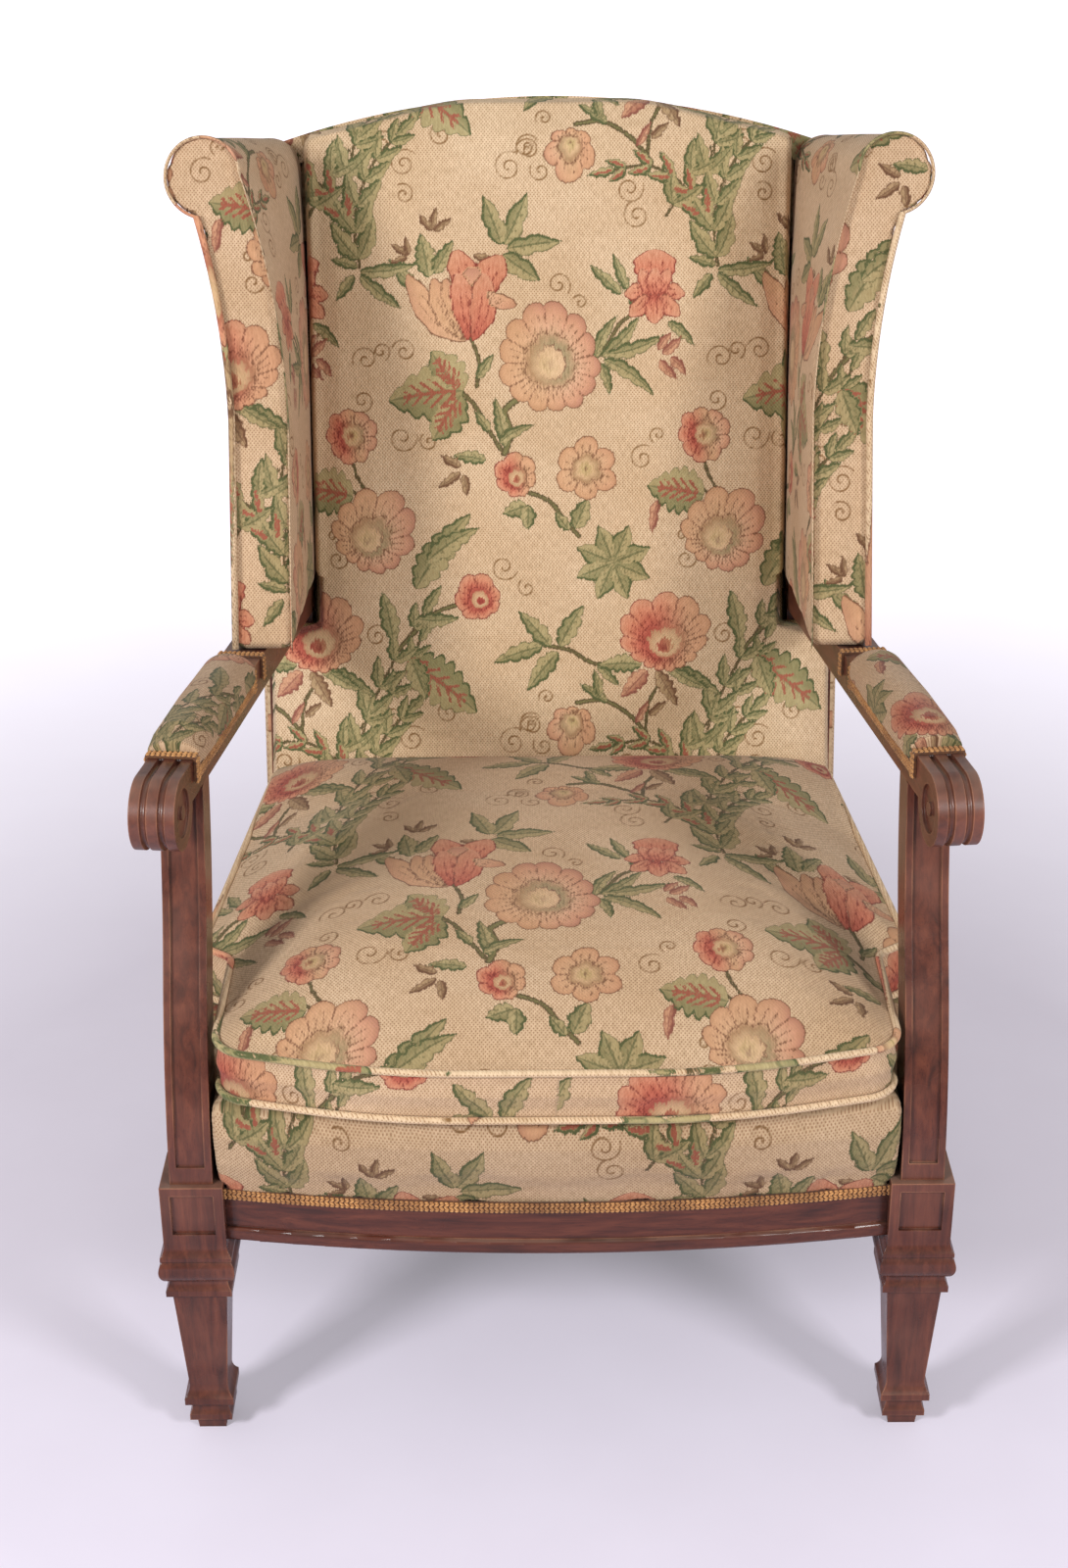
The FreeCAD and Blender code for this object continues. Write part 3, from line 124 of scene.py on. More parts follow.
room = bpy.data.worlds.new("studio_room")
room.use_nodes = True
ROOM_LIGHT = 0.46
air = room.node_tree
rays = wire(air, "ShaderNodeLightPath").outputs["Is Camera Ray"]
backdrop = air.nodes["Background"]
air.links.new(between(air, rays, 0.0, 1.0, ROOM_LIGHT, 1.0), backdrop.inputs["Strength"])
backdrop.inputs["Color"].default_value = (1.0, 0.99, 0.98, 1.0)
bpy.context.scene.world = room

SOFT_BOX_SIZE = 0.6
SOFT_BOX_TARGET = Vector((0.0, 0.0, 0.7))


def soft_box(name, place, power):
    lamp = bpy.data.lights.new(name, "AREA")
    lamp.shape = "RECTANGLE"
    lamp.size = SOFT_BOX_SIZE
    lamp.size_y = SOFT_BOX_SIZE
    lamp.energy = power
    holder = new_object(name, lamp)
    holder.location = place
    holder.rotation_euler = (SOFT_BOX_TARGET - Vector(place)).to_track_quat("-Z", "Y").to_euler()


soft_box("soft_box_left", (-1.9, -2.1, 1.8), power=60)
soft_box("soft_box_right", (1.8, -2.2, 1.8), power=42)

LEG_BEFORE_BLOCK = 0.00605
BLOCK_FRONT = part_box("front_leg_left")[0].y + LEG_BEFORE_BLOCK
LENS = 54.0
SENSOR = 36.0
CAMERA_SIDE = -0.018
CAMERA_REACH = 1.704
CAMERA_HEIGHT = 1.5003
CAMERA_PITCH = 25.875
CAMERA_ROLL = 0.35
eye = bpy.data.cameras.new("camera")
eye.lens = LENS
eye.sensor_width = SENSOR
camera = new_object("camera", eye)
aim = Matrix.Rotation(math.radians(90 - CAMERA_PITCH), 4, "X")
aim = aim @ Matrix.Rotation(-math.radians(CAMERA_ROLL), 4, "Z")
camera.matrix_world = Matrix.Translation((CAMERA_SIDE, BLOCK_FRONT - CAMERA_REACH, CAMERA_HEIGHT)) @ aim
bpy.context.scene.camera = camera
bpy.context.scene.view_settings.view_transform = "Standard"

# Show wood: legs, rails, arm posts and arms of close-grained wood, stained dark red-brown and polished.
# The polish has worn thin along the edges and is duller in the mouldings, whose hollows get painted shade;
# faces that look up get a painted sheen.

WOOD_DARK = colour(54, 25, 18)
WOOD_MID = colour(82, 39, 27)
WOOD_LIGHT = colour(104, 54, 37)
WOOD_WORN = colour(168, 112, 80)
# Painted shade for the hollows of the mouldings.
WOOD_HOLLOW_SHADE = colour(36, 21, 17)
# Painted sheen for faces that look up.
WOOD_UPFACING_SHEEN = colour(148, 122, 106)
WOOD_FADED = colour(150, 98, 80)
GRAIN_STRETCH = 14.0


def ramp(tree, factor, stops):
    """Colour ramp through (position, colour) stops."""
    made = wire(tree, "ShaderNodeValToRGB", {0: factor})
    band = made.color_ramp
    band.elements[0].position, band.elements[0].color = stops[0]
    band.elements[1].position, band.elements[1].color = stops[-1]
    for position, tone in stops[1:-1]:
        band.elements.new(position).color = tone
    return made.outputs[0]


def polished_wood(name, along, faded):
    """Stained and polished wood whose grain runs along one axis, bleached in patches by light and hands, with
    painted shade in its hollows and a painted sheen on faces that look up.
    """
    material, tree, shader = new_material(name)
    spot = wire(tree, "ShaderNodeTexCoord").outputs["Object"]
    scale = [GRAIN_STRETCH] * 3
    scale["XYZ".index(along)] = 1.0
    grain_place = wire(tree, "ShaderNodeMapping", {"Vector": spot, "Scale": scale}).outputs[0]
    figure = wire(tree, "ShaderNodeTexNoise", {"Vector": grain_place, "Scale": 9.0, "Detail": 6.0,
                                               "Roughness": 0.6, "Distortion": 0.6}).outputs[0]
    pores = noise(tree, grain_place, 60.0, 3.0)
    patches = noise(tree, spot, 16.0, 3.0)
    tone = ramp(tree, figure, [(0.3, WOOD_DARK), (0.5, WOOD_MID), (0.72, WOOD_LIGHT)])
    pore_mask = between(tree, pores, 0.56, 0.68, 0.0, 0.55)
    tone = mixed(tree, pore_mask, tone, WOOD_DARK)
    bleach = between(tree, patches, 0.35, 0.65, 0.0, faded)
    tone = mixed(tree, bleach, tone, WOOD_FADED)
    rounded = wire(tree, "ShaderNodeBevel", {"Radius": 0.0022}, samples=6).outputs[0]
    flat = wire(tree, "ShaderNodeNewGeometry").outputs["Normal"]
    facing = wire(tree, "ShaderNodeVectorMath", {0: rounded, 1: flat}, operation="DOT_PRODUCT").outputs[1]
    edge = between(tree, facing, 0.985, 0.9)
    patch_mask = between(tree, patches, 0.42, 0.62, 0.0, 0.75)
    # Painted shade: where ambient occlusion finds the wood sheltered, in hollows and mouldings, its colour is
    # darkened. The same mask dulls the polish and keeps wear off those places.
    open_sky = wire(tree, "ShaderNodeAmbientOcclusion", {"Distance": 0.012}, samples=6).outputs["AO"]
    recess = between(tree, open_sky, 0.62, 0.3, 0.0, 0.85)
    exposed = number(tree, "SUBTRACT", 1.0, recess, clamp=True)
    worn = number(tree, "MULTIPLY", number(tree, "MULTIPLY", edge, patch_mask), exposed)
    tone = mixed(tree, worn, tone, WOOD_WORN)
    tone = mixed(tree, recess, tone, WOOD_HOLLOW_SHADE)
    # Painted sheen: faces that look up are mixed, in patches, towards a pale greyish brown, as if lit from
    # above.
    facing_up = wire(tree, "ShaderNodeSeparateXYZ", {0: flat}).outputs[2]
    upfacing_sheen = between(tree, facing_up, 0.5, 0.95, 0.0, 0.5)
    tone = mixed(tree, number(tree, "MULTIPLY", upfacing_sheen, patch_mask), tone, WOOD_UPFACING_SHEEN)
    tree.links.new(tone, shader.inputs["Base Color"])
    shader.inputs["Specular IOR Level"].default_value = 0.4
    gloss = between(tree, patches, 0.3, 0.7, 0.22, 0.38)
    dulled = number(tree, "ADD", gloss, number(tree, "MULTIPLY", recess, 0.35))
    tree.links.new(dulled, shader.inputs["Roughness"])
    shader.inputs["Coat Weight"].default_value = 0.2
    shader.inputs["Coat Roughness"].default_value = 0.18
    soft_edge = wire(tree, "ShaderNodeBevel", {"Radius": 0.0012}, samples=6).outputs[0]
    relief = wire(tree, "ShaderNodeBump", {"Strength": 0.12, "Distance": 0.0004, "Height": pores,
                                           "Normal": soft_edge}).outputs[0]
    tree.links.new(relief, shader.inputs["Normal"])
    return material


def finish_node(name, material):
    mesh = nodes[name].data
    mesh.materials.clear()
    mesh.materials.append(material)


wood_up = polished_wood("polished_wood_upright", "Z", faded=0.22)
wood_across = polished_wood("polished_wood_across", "X", faded=0.0)
wood_deep = polished_wood("polished_wood_deep", "Y", faded=0.3)
finish_node("front_seat_rail", wood_across)
finish_node("back_seat_rail", wood_across)
for side in SIDES:
    finish_node(f"front_leg_{side}", wood_up)
    finish_node(f"rear_post_{side}", wood_up)
    finish_node(f"arm_post_{side}", wood_up)
    finish_node(f"arm_{side}", wood_deep)
    finish_node(f"side_seat_rail_{side}", wood_deep)

# Hidden frame: the rails and boards under the upholstery are bare beech, sawn and left plain.
# They carry the webbing and the wings, and show only from below.

beech, tree, shader = new_material("bare_beech")
spot = wire(tree, "ShaderNodeTexCoord").outputs["Object"]
grain_place = wire(tree, "ShaderNodeMapping", {"Vector": spot, "Scale": (2.0, 20.0, 20.0)}).outputs[0]
figure = noise(tree, grain_place, 8.0, 5.0)
tone = ramp(tree, figure, [(0.3, colour(158, 122, 82)), (0.7, colour(203, 168, 122))])
tree.links.new(tone, shader.inputs["Base Color"])
shader.inputs["Roughness"].default_value = 0.7
for name in ("crest_rail", "lower_back_rail", "corner_blocks"):
    finish_node(name, beech)
for side in SIDES:
    finish_node(f"wing_upright_{side}", beech)
    finish_node(f"wing_top_rail_{side}", beech)

# Tapestry: a heavy cotton weave, beige with a repeat of garden flowers, leaves, stems and curled tendrils.
# The figures are laid out flat on the cloth in millimetres, and each piece of cloth is cut from that repeat.
# Every corner of the cloth's mesh keeps its distance to the nearest flower, leaf, stem and tendril.

REPEAT = np.array([364.0, 590.0])
CELL = 40.0
FAR = 60.0
GREEN, RED_VEINED, BROWN, PINKISH = 0.0, 0.5, 1.0, 1.5


def turned(points, place, angle):
    """Cloth points as seen by a figure at a place, turned by an angle in degrees."""
    c, s = math.cos(math.radians(angle)), math.sin(math.radians(angle))
    x, y = points[:, 0] - place[0], points[:, 1] - place[1]
    return x * c + y * s, y * c - x * s


def bloom(points, place, angle, size, petals, hues, lift, ruffle, squash):
    """Round flower with scalloped petals; a lift moves its heart down, which opens it like a fan."""
    x, y = turned(points, place, angle)
    x = x / squash
    heart = -lift * size
    reach = np.hypot(x, y - heart)
    around = np.arctan2(x, y - heart)
    outer = np.sqrt(np.maximum(size ** 2 - (heart * np.sin(around)) ** 2, 1.0)) - heart * np.cos(around)
    petal_turn = around * petals / (2 * math.pi)
    swing = np.abs(np.cos(petal_turn * math.pi))
    wobble = 0.035 * np.sin(3 * around + size) + 0.02 * np.sin(7 * around)
    edge = outer * (1 - ruffle + ruffle * swing ** 0.55 + wobble)
    ring = reach / edge
    arc = 2 * math.pi / petals * reach
    border = np.where(ring > 0.5, np.abs((petal_turn % 1.0) - 0.5) * arc, FAR)
    streak = np.abs(((petal_turn * 3) % 1.0) - 0.5) * arc / 3 + 0.35
    streak = np.where((ring > 0.5) & (ring < 0.72 + 0.1 * swing), streak, FAR)
    inner = np.abs(ring - 0.46 - 0.06 * np.abs(np.cos(petal_turn * math.pi * 0.6))) * edge + 0.2
    crease = np.minimum(np.minimum(border, streak), inner)
    hue = hues[0] + (hues[1] - hues[0]) * np.clip(x / size + 0.5, 0, 1)
    return reach - edge, ring, hue, crease


def petal(points, place, angle, length, width, hues, bend):
    """One petal of a flower seen from its side, fullest towards its tip."""
    x, y = turned(points, place, angle)
    share = np.clip(x / length, 0, 1)
    y = y - bend * length * share ** 2
    half = width / 2 * np.sin(math.pi * (share ** 1.3) * 0.96 + 0.02) ** 0.62
    half = half * (1 + 0.06 * np.sin(share * 19))
    past = np.maximum(-x, x - length)
    distance = np.where((x > 0) & (x < length), (np.abs(y) - half) * 0.9, np.hypot(y, past))
    side = y / np.maximum(half, 1.0)
    crease = np.minimum(np.abs(side - 0.2), np.abs(side + 0.35)) * half + 0.3
    crease = np.where((share > 0.12) & (share < 0.74), crease, FAR)
    hue = hues[0] + (hues[1] - hues[0]) * np.clip(side * 0.5 + 0.5, 0, 1)
    return distance, 0.5 + 0.48 * share, hue, crease


def leaf(points, place, angle, length, width, tint, teeth, bend):
    """Lobed leaf along its midrib, which may bend to one side; one half is woven lighter than the other."""
    x, y = turned(points, place, angle)
    share = np.clip(x / length, 0, 1)
    y = y - bend * length * share ** 2
    half = width / 2 * np.sin(math.pi * share ** 0.74) ** 0.8
    lobes = np.abs(np.sin(math.pi * (share * teeth + 0.3 * (y > 0))))
    half = half * np.where(share > 0.06, 0.64 + 0.36 * lobes ** 0.6, 1.0)
    past = np.maximum(-x, x - length)
    distance = np.where((x > 0) & (x < length), (np.abs(y) - half) * 0.88, np.hypot(y, past))
    side = np.clip(y / np.maximum(half, 1.5), -1.5, 1.5)
    spacing = max(length / 6.5, 7.0)
    rib = np.abs(((x - np.abs(y) * 1.1) % spacing) - spacing / 2) * 0.7
    rib = np.minimum(rib, np.abs(y))
    rib = np.where((np.abs(side) < 0.56) & (share > 0.1) & (share < 0.82), rib, FAR)
    return distance, side, np.full(len(x), tint), rib


def trail(knots, count=60):
    """Smooth run of points through a few knots."""
    knots = np.array(knots, float)
    span = np.linspace(0, len(knots) - 1, count)
    at = np.minimum(span.astype(int), len(knots) - 2)
    part = (span - at)[:, None]
    before, first = knots[np.maximum(at - 1, 0)], knots[at]
    second, after = knots[at + 1], knots[np.minimum(at + 2, len(knots) - 1)]
    return 0.5 * (2 * first + (second - before) * part
                  + (2 * before - 5 * first + 4 * second - after) * part ** 2
                  + (3 * first - before - 3 * second + after) * part ** 3)


def spiral(place, size, angle, way, turns):
    """Curled tendril: a tail that winds into an open coil."""
    share = np.linspace(0, 1, 70)
    reach = size * (0.12 + 0.88 * share)
    around = math.radians(angle) + way * 2 * math.pi * turns * (1 - share)
    return np.array(place) + np.stack([reach * np.cos(around), reach * np.sin(around)], axis=1)


def near_trail(points, line):
    gap = points[:, None, :] - line[None, :, :]
    return np.sqrt((gap ** 2).sum(axis=2).min(axis=1))


BLOOMS = [
    # Round and fan-shaped flowers: place, turn, half size, petals, hues left and right, lift, ruffle, squash
    ((0, 548), 20, 57, 13, (0.62, 1.1), 0.12, 0.13, 0.92),
    ((38, 435), 0, 33, 6, (0.6, 0.75), 0.0, 0.3, 1.0),
    ((160, 470), 10, 29, 9, (0.05, 0.9), 0.0, 0.14, 0.95),
    ((-182, 373), -30, 45, 11, (0.6, 1.0), 0.35, 0.18, 1.0),
    ((-35, 430), 10, 24, 7, (0.0, 0.55), 0.25, 0.16, 0.92),
    ((-76, 303), 40, 25, 7, (0.0, 0.2), 0.25, 0.14, 0.98),
    ((120, 266), 0, 43, 13, (0.0, 0.5), 0.45, 0.15, 1.1),
    ((22, 160), 176, 27, 6, (0.5, 0.85), 0.45, 0.26, 1.0),
]
PETALS = [
    # Tulip and lily: foot of the petal, direction, length, width, hues left and right, bend
    ((-80, 600), 98, 58, 30, (0.1, 0.25), 0.1), ((-76, 602), 66, 56, 32, (0.0, 0.25), -0.1),
    ((-80, 590), 86, 50, 30, (0.9, 1.0), 0.0), ((-84, 566), 156, 82, 30, (0.6, 0.8), -0.42),
    ((-88, 568), 128, 66, 24, (0.75, 0.6), -0.2), ((-84, 568), 110, 64, 20, (0.85, 0.6), 0.0),
    ((-83, 566), 92, 68, 26, (0.2, 0.0), 0.1), ((-78, 566), 64, 66, 30, (0.0, 0.25), 0.25),
    ((-62, 616), -52, 30, 18, (0.9, 0.8), 0.4),
    ((108, 618), 90, 38, 44, (0.0, 0.1), 0.0), ((108, 616), 4, 30, 18, (0.1, 0.3), -0.2),
    ((108, 616), 176, 30, 18, (0.3, 0.1), 0.2), ((108, 616), -52, 36, 18, (0.1, 0.3), 0.1),
    ((108, 616), -128, 36, 18, (0.3, 0.1), -0.1), ((108, 616), -90, 34, 20, (0.1, 0.2), 0.0),
    ((108, 606), 116, 34, 15, (0.1, 0.0), 0.0), ((108, 606), 64, 34, 15, (0.0, 0.1), 0.0),
    ((108, 604), 90, 34, 16, (0.15, 0.1), 0.0),
]
LEAVES = [
    # place of the stalk, direction, length, width, tint, teeth, bend
    ((-88, 516), 182, 78, 60, RED_VEINED, 5, 0.1), ((-90, 514), 132, 52, 46, RED_VEINED, 4, -0.1),
    ((-90, 512), 232, 56, 46, RED_VEINED, 4, 0.1),
    ((160, 408), 168, 60, 52, RED_VEINED, 6, 0.05), ((112, 402), 250, 34, 12, PINKISH, 2, 0.2),
    ((-150, 236), -32, 92, 54, RED_VEINED, 7, -0.1), ((-146, 238), -70, 46, 26, GREEN, 4, 0.0),
    ((-140, 312), 62, 96, 36, GREEN, 7, -0.15), ((-128, 340), 44, 64, 24, GREEN, 5, -0.2),
    ((-165, 258), 96, 52, 22, GREEN, 4, 0.1), ((-140, 280), -10, 44, 18, GREEN, 4, 0.2),
    ((-45, 662), 62, 56, 23, GREEN, 2, 0.05), ((-48, 662), 108, 52, 22, GREEN, 2, 0.05),
    ((-42, 658), 10, 56, 22, GREEN, 2, -0.05), ((-46, 652), -40, 46, 24, GREEN, 2, 0.1),
    ((-60, 648), 170, 18, 10, BROWN, 2, 0.0),
    ((98, 590), 118, 42, 15, GREEN, 3, 0.1), ((74, 612), 138, 44, 14, GREEN, 3, 0.0),
    ((80, 616), 112, 40, 12, GREEN, 3, 0.0), ((122, 584), -30, 36, 13, GREEN, 3, -0.2),
    ((48, 548), 84, 46, 15, GREEN, 4, -0.4), ((54, 550), 30, 54, 17, GREEN, 4, 0.3),
    ((60, 552), 4, 60, 17, GREEN, 4, 0.25), ((56, 546), -18, 62, 17, GREEN, 4, -0.3),
    ((52, 543), -56, 34, 13, GREEN, 4, -0.3),
    ((112, 556), 64, 22, 11, PINKISH, 2, -0.2), ((116, 552), 30, 26, 12, PINKISH, 2, 0.2),
    ((114, 546), -64, 26, 12, PINKISH, 2, 0.3), ((124, 548), -30, 24, 12, PINKISH, 2, -0.3),
    ((-46, 458), 96, 52, 16, GREEN, 6, 0.1), ((-52, 462), 44, 40, 13, GREEN, 3, -0.3),
    ((-62, 474), 120, 26, 12, GREEN, 2, 0.1), ((-66, 444), 160, 34, 16, GREEN, 4, 0.2),
    ((-92, 438), 150, 24, 11, BROWN, 2, 0.0), ((-92, 432), 214, 28, 11, BROWN, 2, 0.0),
    ((-88, 430), 276, 22, 11, BROWN, 2, 0.0), ((-74, 528), 56, 30, 13, GREEN, 3, 0.0),
    ((-24, 398), 200, 26, 20, GREEN, 3, 0.0), ((-22, 398), 268, 26, 18, GREEN, 3, 0.0),
    ((26, 374), 66, 34, 22, GREEN, 3, 0.0), ((20, 372), 128, 24, 14, GREEN, 3, 0.0),
    ((0, 250), 126, 50, 20, GREEN, 4, 0.1), ((10, 250), 66, 50, 22, GREEN, 4, -0.1),
    ((-8, 250), 190, 54, 20, GREEN, 4, 0.15), ((8, 244), 226, 52, 22, GREEN, 4, 0.1),
    ((50, 232), -52, 34, 12, GREEN, 3, 0.1), ((96, 230), 170, 46, 22, GREEN, 6, 0.2),
    ((122, 226), -14, 64, 20, GREEN, 6, -0.2), ((112, 224), -60, 44, 18, BROWN, 5, 0.0),
    ((128, 226), -40, 44, 16, GREEN, 4, 0.2), ((102, 224), 226, 40, 20, PINKISH, 5, 0.0),
    ((60, 190), 140, 36, 12, GREEN, 3, 0.1), ((52, 196), 96, 30, 12, GREEN, 3, 0.1),
    ((90, 168), 60, 28, 9, PINKISH, 2, 0.0), ((104, 176), 40, 24, 10, BROWN, 2, 0.0),
    ((-122, 630), 100, 44, 24, GREEN, 6, 0.0), ((-116, 634), 60, 38, 18, GREEN, 4, 0.0),
    ((-128, 618), 160, 44, 18, GREEN, 4, -0.4),
    ((-118, 676), 80, 24, 9, BROWN, 2, 0.0), ((-118, 676), 130, 22, 9, BROWN, 2, 0.0),
    ((-116, 676), 34, 22, 9, BROWN, 2, 0.0), ((-142, 652), 150, 22, 9, BROWN, 2, 0.0),
    ((-142, 652), 100, 20, 8, BROWN, 2, 0.0), ((-144, 650), 200, 18, 8, BROWN, 2, 0.0),
    ((170, 640), 158, 30, 12, GREEN, 3, 0.1), ((172, 636), -4, 58, 16, GREEN, 3, 0.2),
    ((172, 632), -44, 54, 15, GREEN, 3, 0.1), ((166, 632), 232, 32, 13, GREEN, 3, 0.0),
]
FRONDS = [
    # Plumes of lobed leaves: knots of the rib, lobes a side, first and last lobe length, tint
    ([(172, 640), (168, 690), (186, 740), (214, 772)], 6, 46, 26, GREEN),
    ([(166, 680), (140, 716), (104, 738), (64, 734)], 5, 34, 22, RED_VEINED),
    ([(-206, 130), (-190, 185), (-164, 236), (-130, 290)], 5, 40, 28, GREEN),
    ([(120, 100), (150, 150), (196, 200), (230, 262)], 5, 38, 24, GREEN),
]
STAR_PLACE, STAR_LOBES, STAR_LENGTH, STAR_WIDTH = (66, 338), 8, 42, 25
STEMS = [
    # knots and half width
    ([(-80, 570), (-72, 545), (-74, 520)], 2.2),
    ([(-90, 514), (-76, 500), (-64, 478), (-50, 456)], 2.6),
    ([(-34, 506), (-46, 494), (-40, 474), (-46, 452)], 3.6),
    ([(-24, 412), (0, 402), (14, 384), (30, 366)], 2.6),
    ([(96, 596), (74, 584), (60, 562), (48, 548)], 2.2),
    ([(-92, 296), (-120, 286), (-146, 262), (-166, 240)], 2.6),
    ([(-10, 252), (20, 246), (46, 232), (80, 232)], 2.4),
    ([(104, 152), (84, 176), (56, 192), (28, 190)], 2.6),
    ([(100, 154), (104, 190), (118, 214)], 2.0),
    ([(150, 420), (166, 408), (172, 398)], 2.0),
    ([(160, 446), (164, 430), (174, 412)], 1.8),
]
CURLS = [
    # place, size, direction of the tail, way, turns
    ((-146, 742), 15, 40, 1, 1.6), ((-146, 712), 11, 120, -1, 1.4), ((-40, 738), 16, 60, 1, 1.6),
    ((-20, 755), 13, 200, -1, 1.4), ((-8, 734), 11, 150, 1, 1.3), ((82, 716), 15, 20, -1, 1.5),
    ((90, 690), 15, 100, 1, 1.6), ((10, 622), 13, -40, 1, 1.4), ((32, 604), 8, 150, -1, 1.2),
    ((-172, 556), 10, -60, 1, 1.3), ((-148, 556), 13, 160, -1, 1.4), ((-152, 468), 16, 10, -1, 1.4),
    ((-124, 464), 10, 130, 1, 1.3), ((96, 446), 14, 60, 1, 1.4), ((112, 470), 9, 240, -1, 1.3),
    ((172, 506), 12, 250, 1, 1.4), ((138, 366), 8, 300, 1, 1.3), ((142, 342), 13, 80, -1, 1.4),
    ((-48, 334), 15, -20, -1, 1.4), ((-24, 312), 10, 130, 1, 1.2), ((-182, 262), 12, 60, 1, 1.4),
    ((176, 548), 14, 200, -1, 1.4), ((196, 172), 13, 60, 1, 1.4), ((-22, 168), 13, 30, 1, 1.4),
    ((-4, 196), 9, 200, -1, 1.3), ((-108, 180), 12, 100, 1, 1.4),
]


def grouped(cells):
    """The different cells, and the points that lie in each."""
    kinds, member = np.unique(cells, axis=0, return_inverse=True)
    order = np.argsort(member.ravel(), kind="stable")
    ends = np.cumsum(np.bincount(member.ravel()))
    return kinds, np.split(order, ends[:-1])


def woven_figures(points):
    """Distances, in millimetres, from cloth points to the figures of the repeat, as three vector channels."""
    count = len(points)
    flower = np.tile(np.array([FAR, 0.0, 0.0]), (count, 1))
    foliage = np.tile(np.array([FAR, 0.0, 0.0]), (count, 1))
    lines = np.full((count, 3), FAR)
    low, high = points.min(axis=0), points.max(axis=0)
    lots = {tuple(cell): members for cell, members in zip(*grouped(np.floor(points / CELL).astype(int)))}

    def around(place, reach):
        """Each repeat of a place that touches the points, with the points near it."""
        place = np.array(place, float)
        first = np.floor((low - place - reach) / REPEAT).astype(int)
        last = np.floor((high - place + reach) / REPEAT).astype(int)
        for across in range(first[0], last[0] + 1):
            for up in range(first[1], last[1] + 1):
                shift = np.array([across, up]) * REPEAT
                corner = np.floor((place + shift - reach) / CELL).astype(int)
                end = np.floor((place + shift + reach) / CELL).astype(int)
                near = [lots[column, row] for column in range(corner[0], end[0] + 1)
                        for row in range(corner[1], end[1] + 1) if (column, row) in lots]
                if near:
                    close = np.concatenate(near)
                    yield close, points[close] - shift

    def lay(channel, close, figure, covers):
        """Weaves a figure in where it is nearest, or over what lies under it."""
        distance, second, third, crease = figure
        wins = distance < channel[close, 0]
        if covers:
            wins |= distance < 0
            crease = np.minimum(crease, np.abs(distance))
            lines[close, 2] = np.minimum(lines[close, 2], np.maximum(distance, 0) + 0.2)
        channel[close[wins]] = np.stack([distance, second, third], axis=1)[wins]
        inside = wins & (distance < 0)
        lines[close[inside], 2] = crease[inside]

    def lay_leaf(place, angle, length, width, tint, teeth, bend, covers=False):
        for close, spots in around(place, length + width / 2):
            lay(foliage, close, leaf(spots, place, angle, length, width, tint, teeth, bend), covers)

    for knots, lobes, first, last, tint in FRONDS:
        rib = trail(knots, 4 * lobes + 2)
        for lobe in range(lobes):
            at = rib[2 + 4 * lobe]
            ahead = rib[3 + 4 * lobe] - rib[1 + 4 * lobe]
            heading = math.degrees(math.atan2(ahead[1], ahead[0]))
            size = first + (last - first) * lobe / (lobes - 1)
            for way in (-1, 1):
                lay_leaf(at, heading + way * 40, size, size * 0.46, tint, 3, way * -0.2)
        lay_leaf(rib[-2], heading, last * 1.3, last * 0.5, tint, 3, 0.0)
    for entry in LEAVES:
        lay_leaf(*entry, covers=entry[4] != RED_VEINED)
    for lobe in range(STAR_LOBES):
        lay_leaf(STAR_PLACE, 22 + 360 * lobe / STAR_LOBES, STAR_LENGTH, STAR_WIDTH, GREEN, 2, 0.0)
    for place, angle, size, petals, hues, lift, ruffle, squash in BLOOMS:
        for close, spots in around(place, size * 1.4):
            made = bloom(spots, place, angle, size, petals, hues, lift, ruffle, squash)
            lay(flower, close, made, False)
    for place, angle, length, width, hues, bend in PETALS:
        for close, spots in around(place, length + width / 2):
            lay(flower, close, petal(spots, place, angle, length, width, hues, bend), True)
    for knots, half in STEMS + [(knots, 1.8) for knots, *_ in FRONDS]:
        line = trail(knots)
        middle = line.mean(axis=0)
        for close, spots in around(middle, np.abs(line - middle).max() + 8):
            lines[close, 0] = np.minimum(lines[close, 0], near_trail(spots, line) - half)
    for place, size, angle, way, turns in CURLS:
        line = spiral(place, size, angle, way, turns)
        for close, spots in around(place, size + 6):
            lines[close, 1] = np.minimum(lines[close, 1], near_trail(spots, line))
    return flower, foliage, lines


GROUND = colour(233, 207, 172)
GROUND_DOT = colour(172, 133, 98)
WEAVE_WIDE = 0.0034
WEAVE_HIGH = 0.0040


def below(tree, value, limit, soft):
    """One where a distance is under its limit, with a soft edge."""
    return between(tree, value, limit + soft, limit - soft)


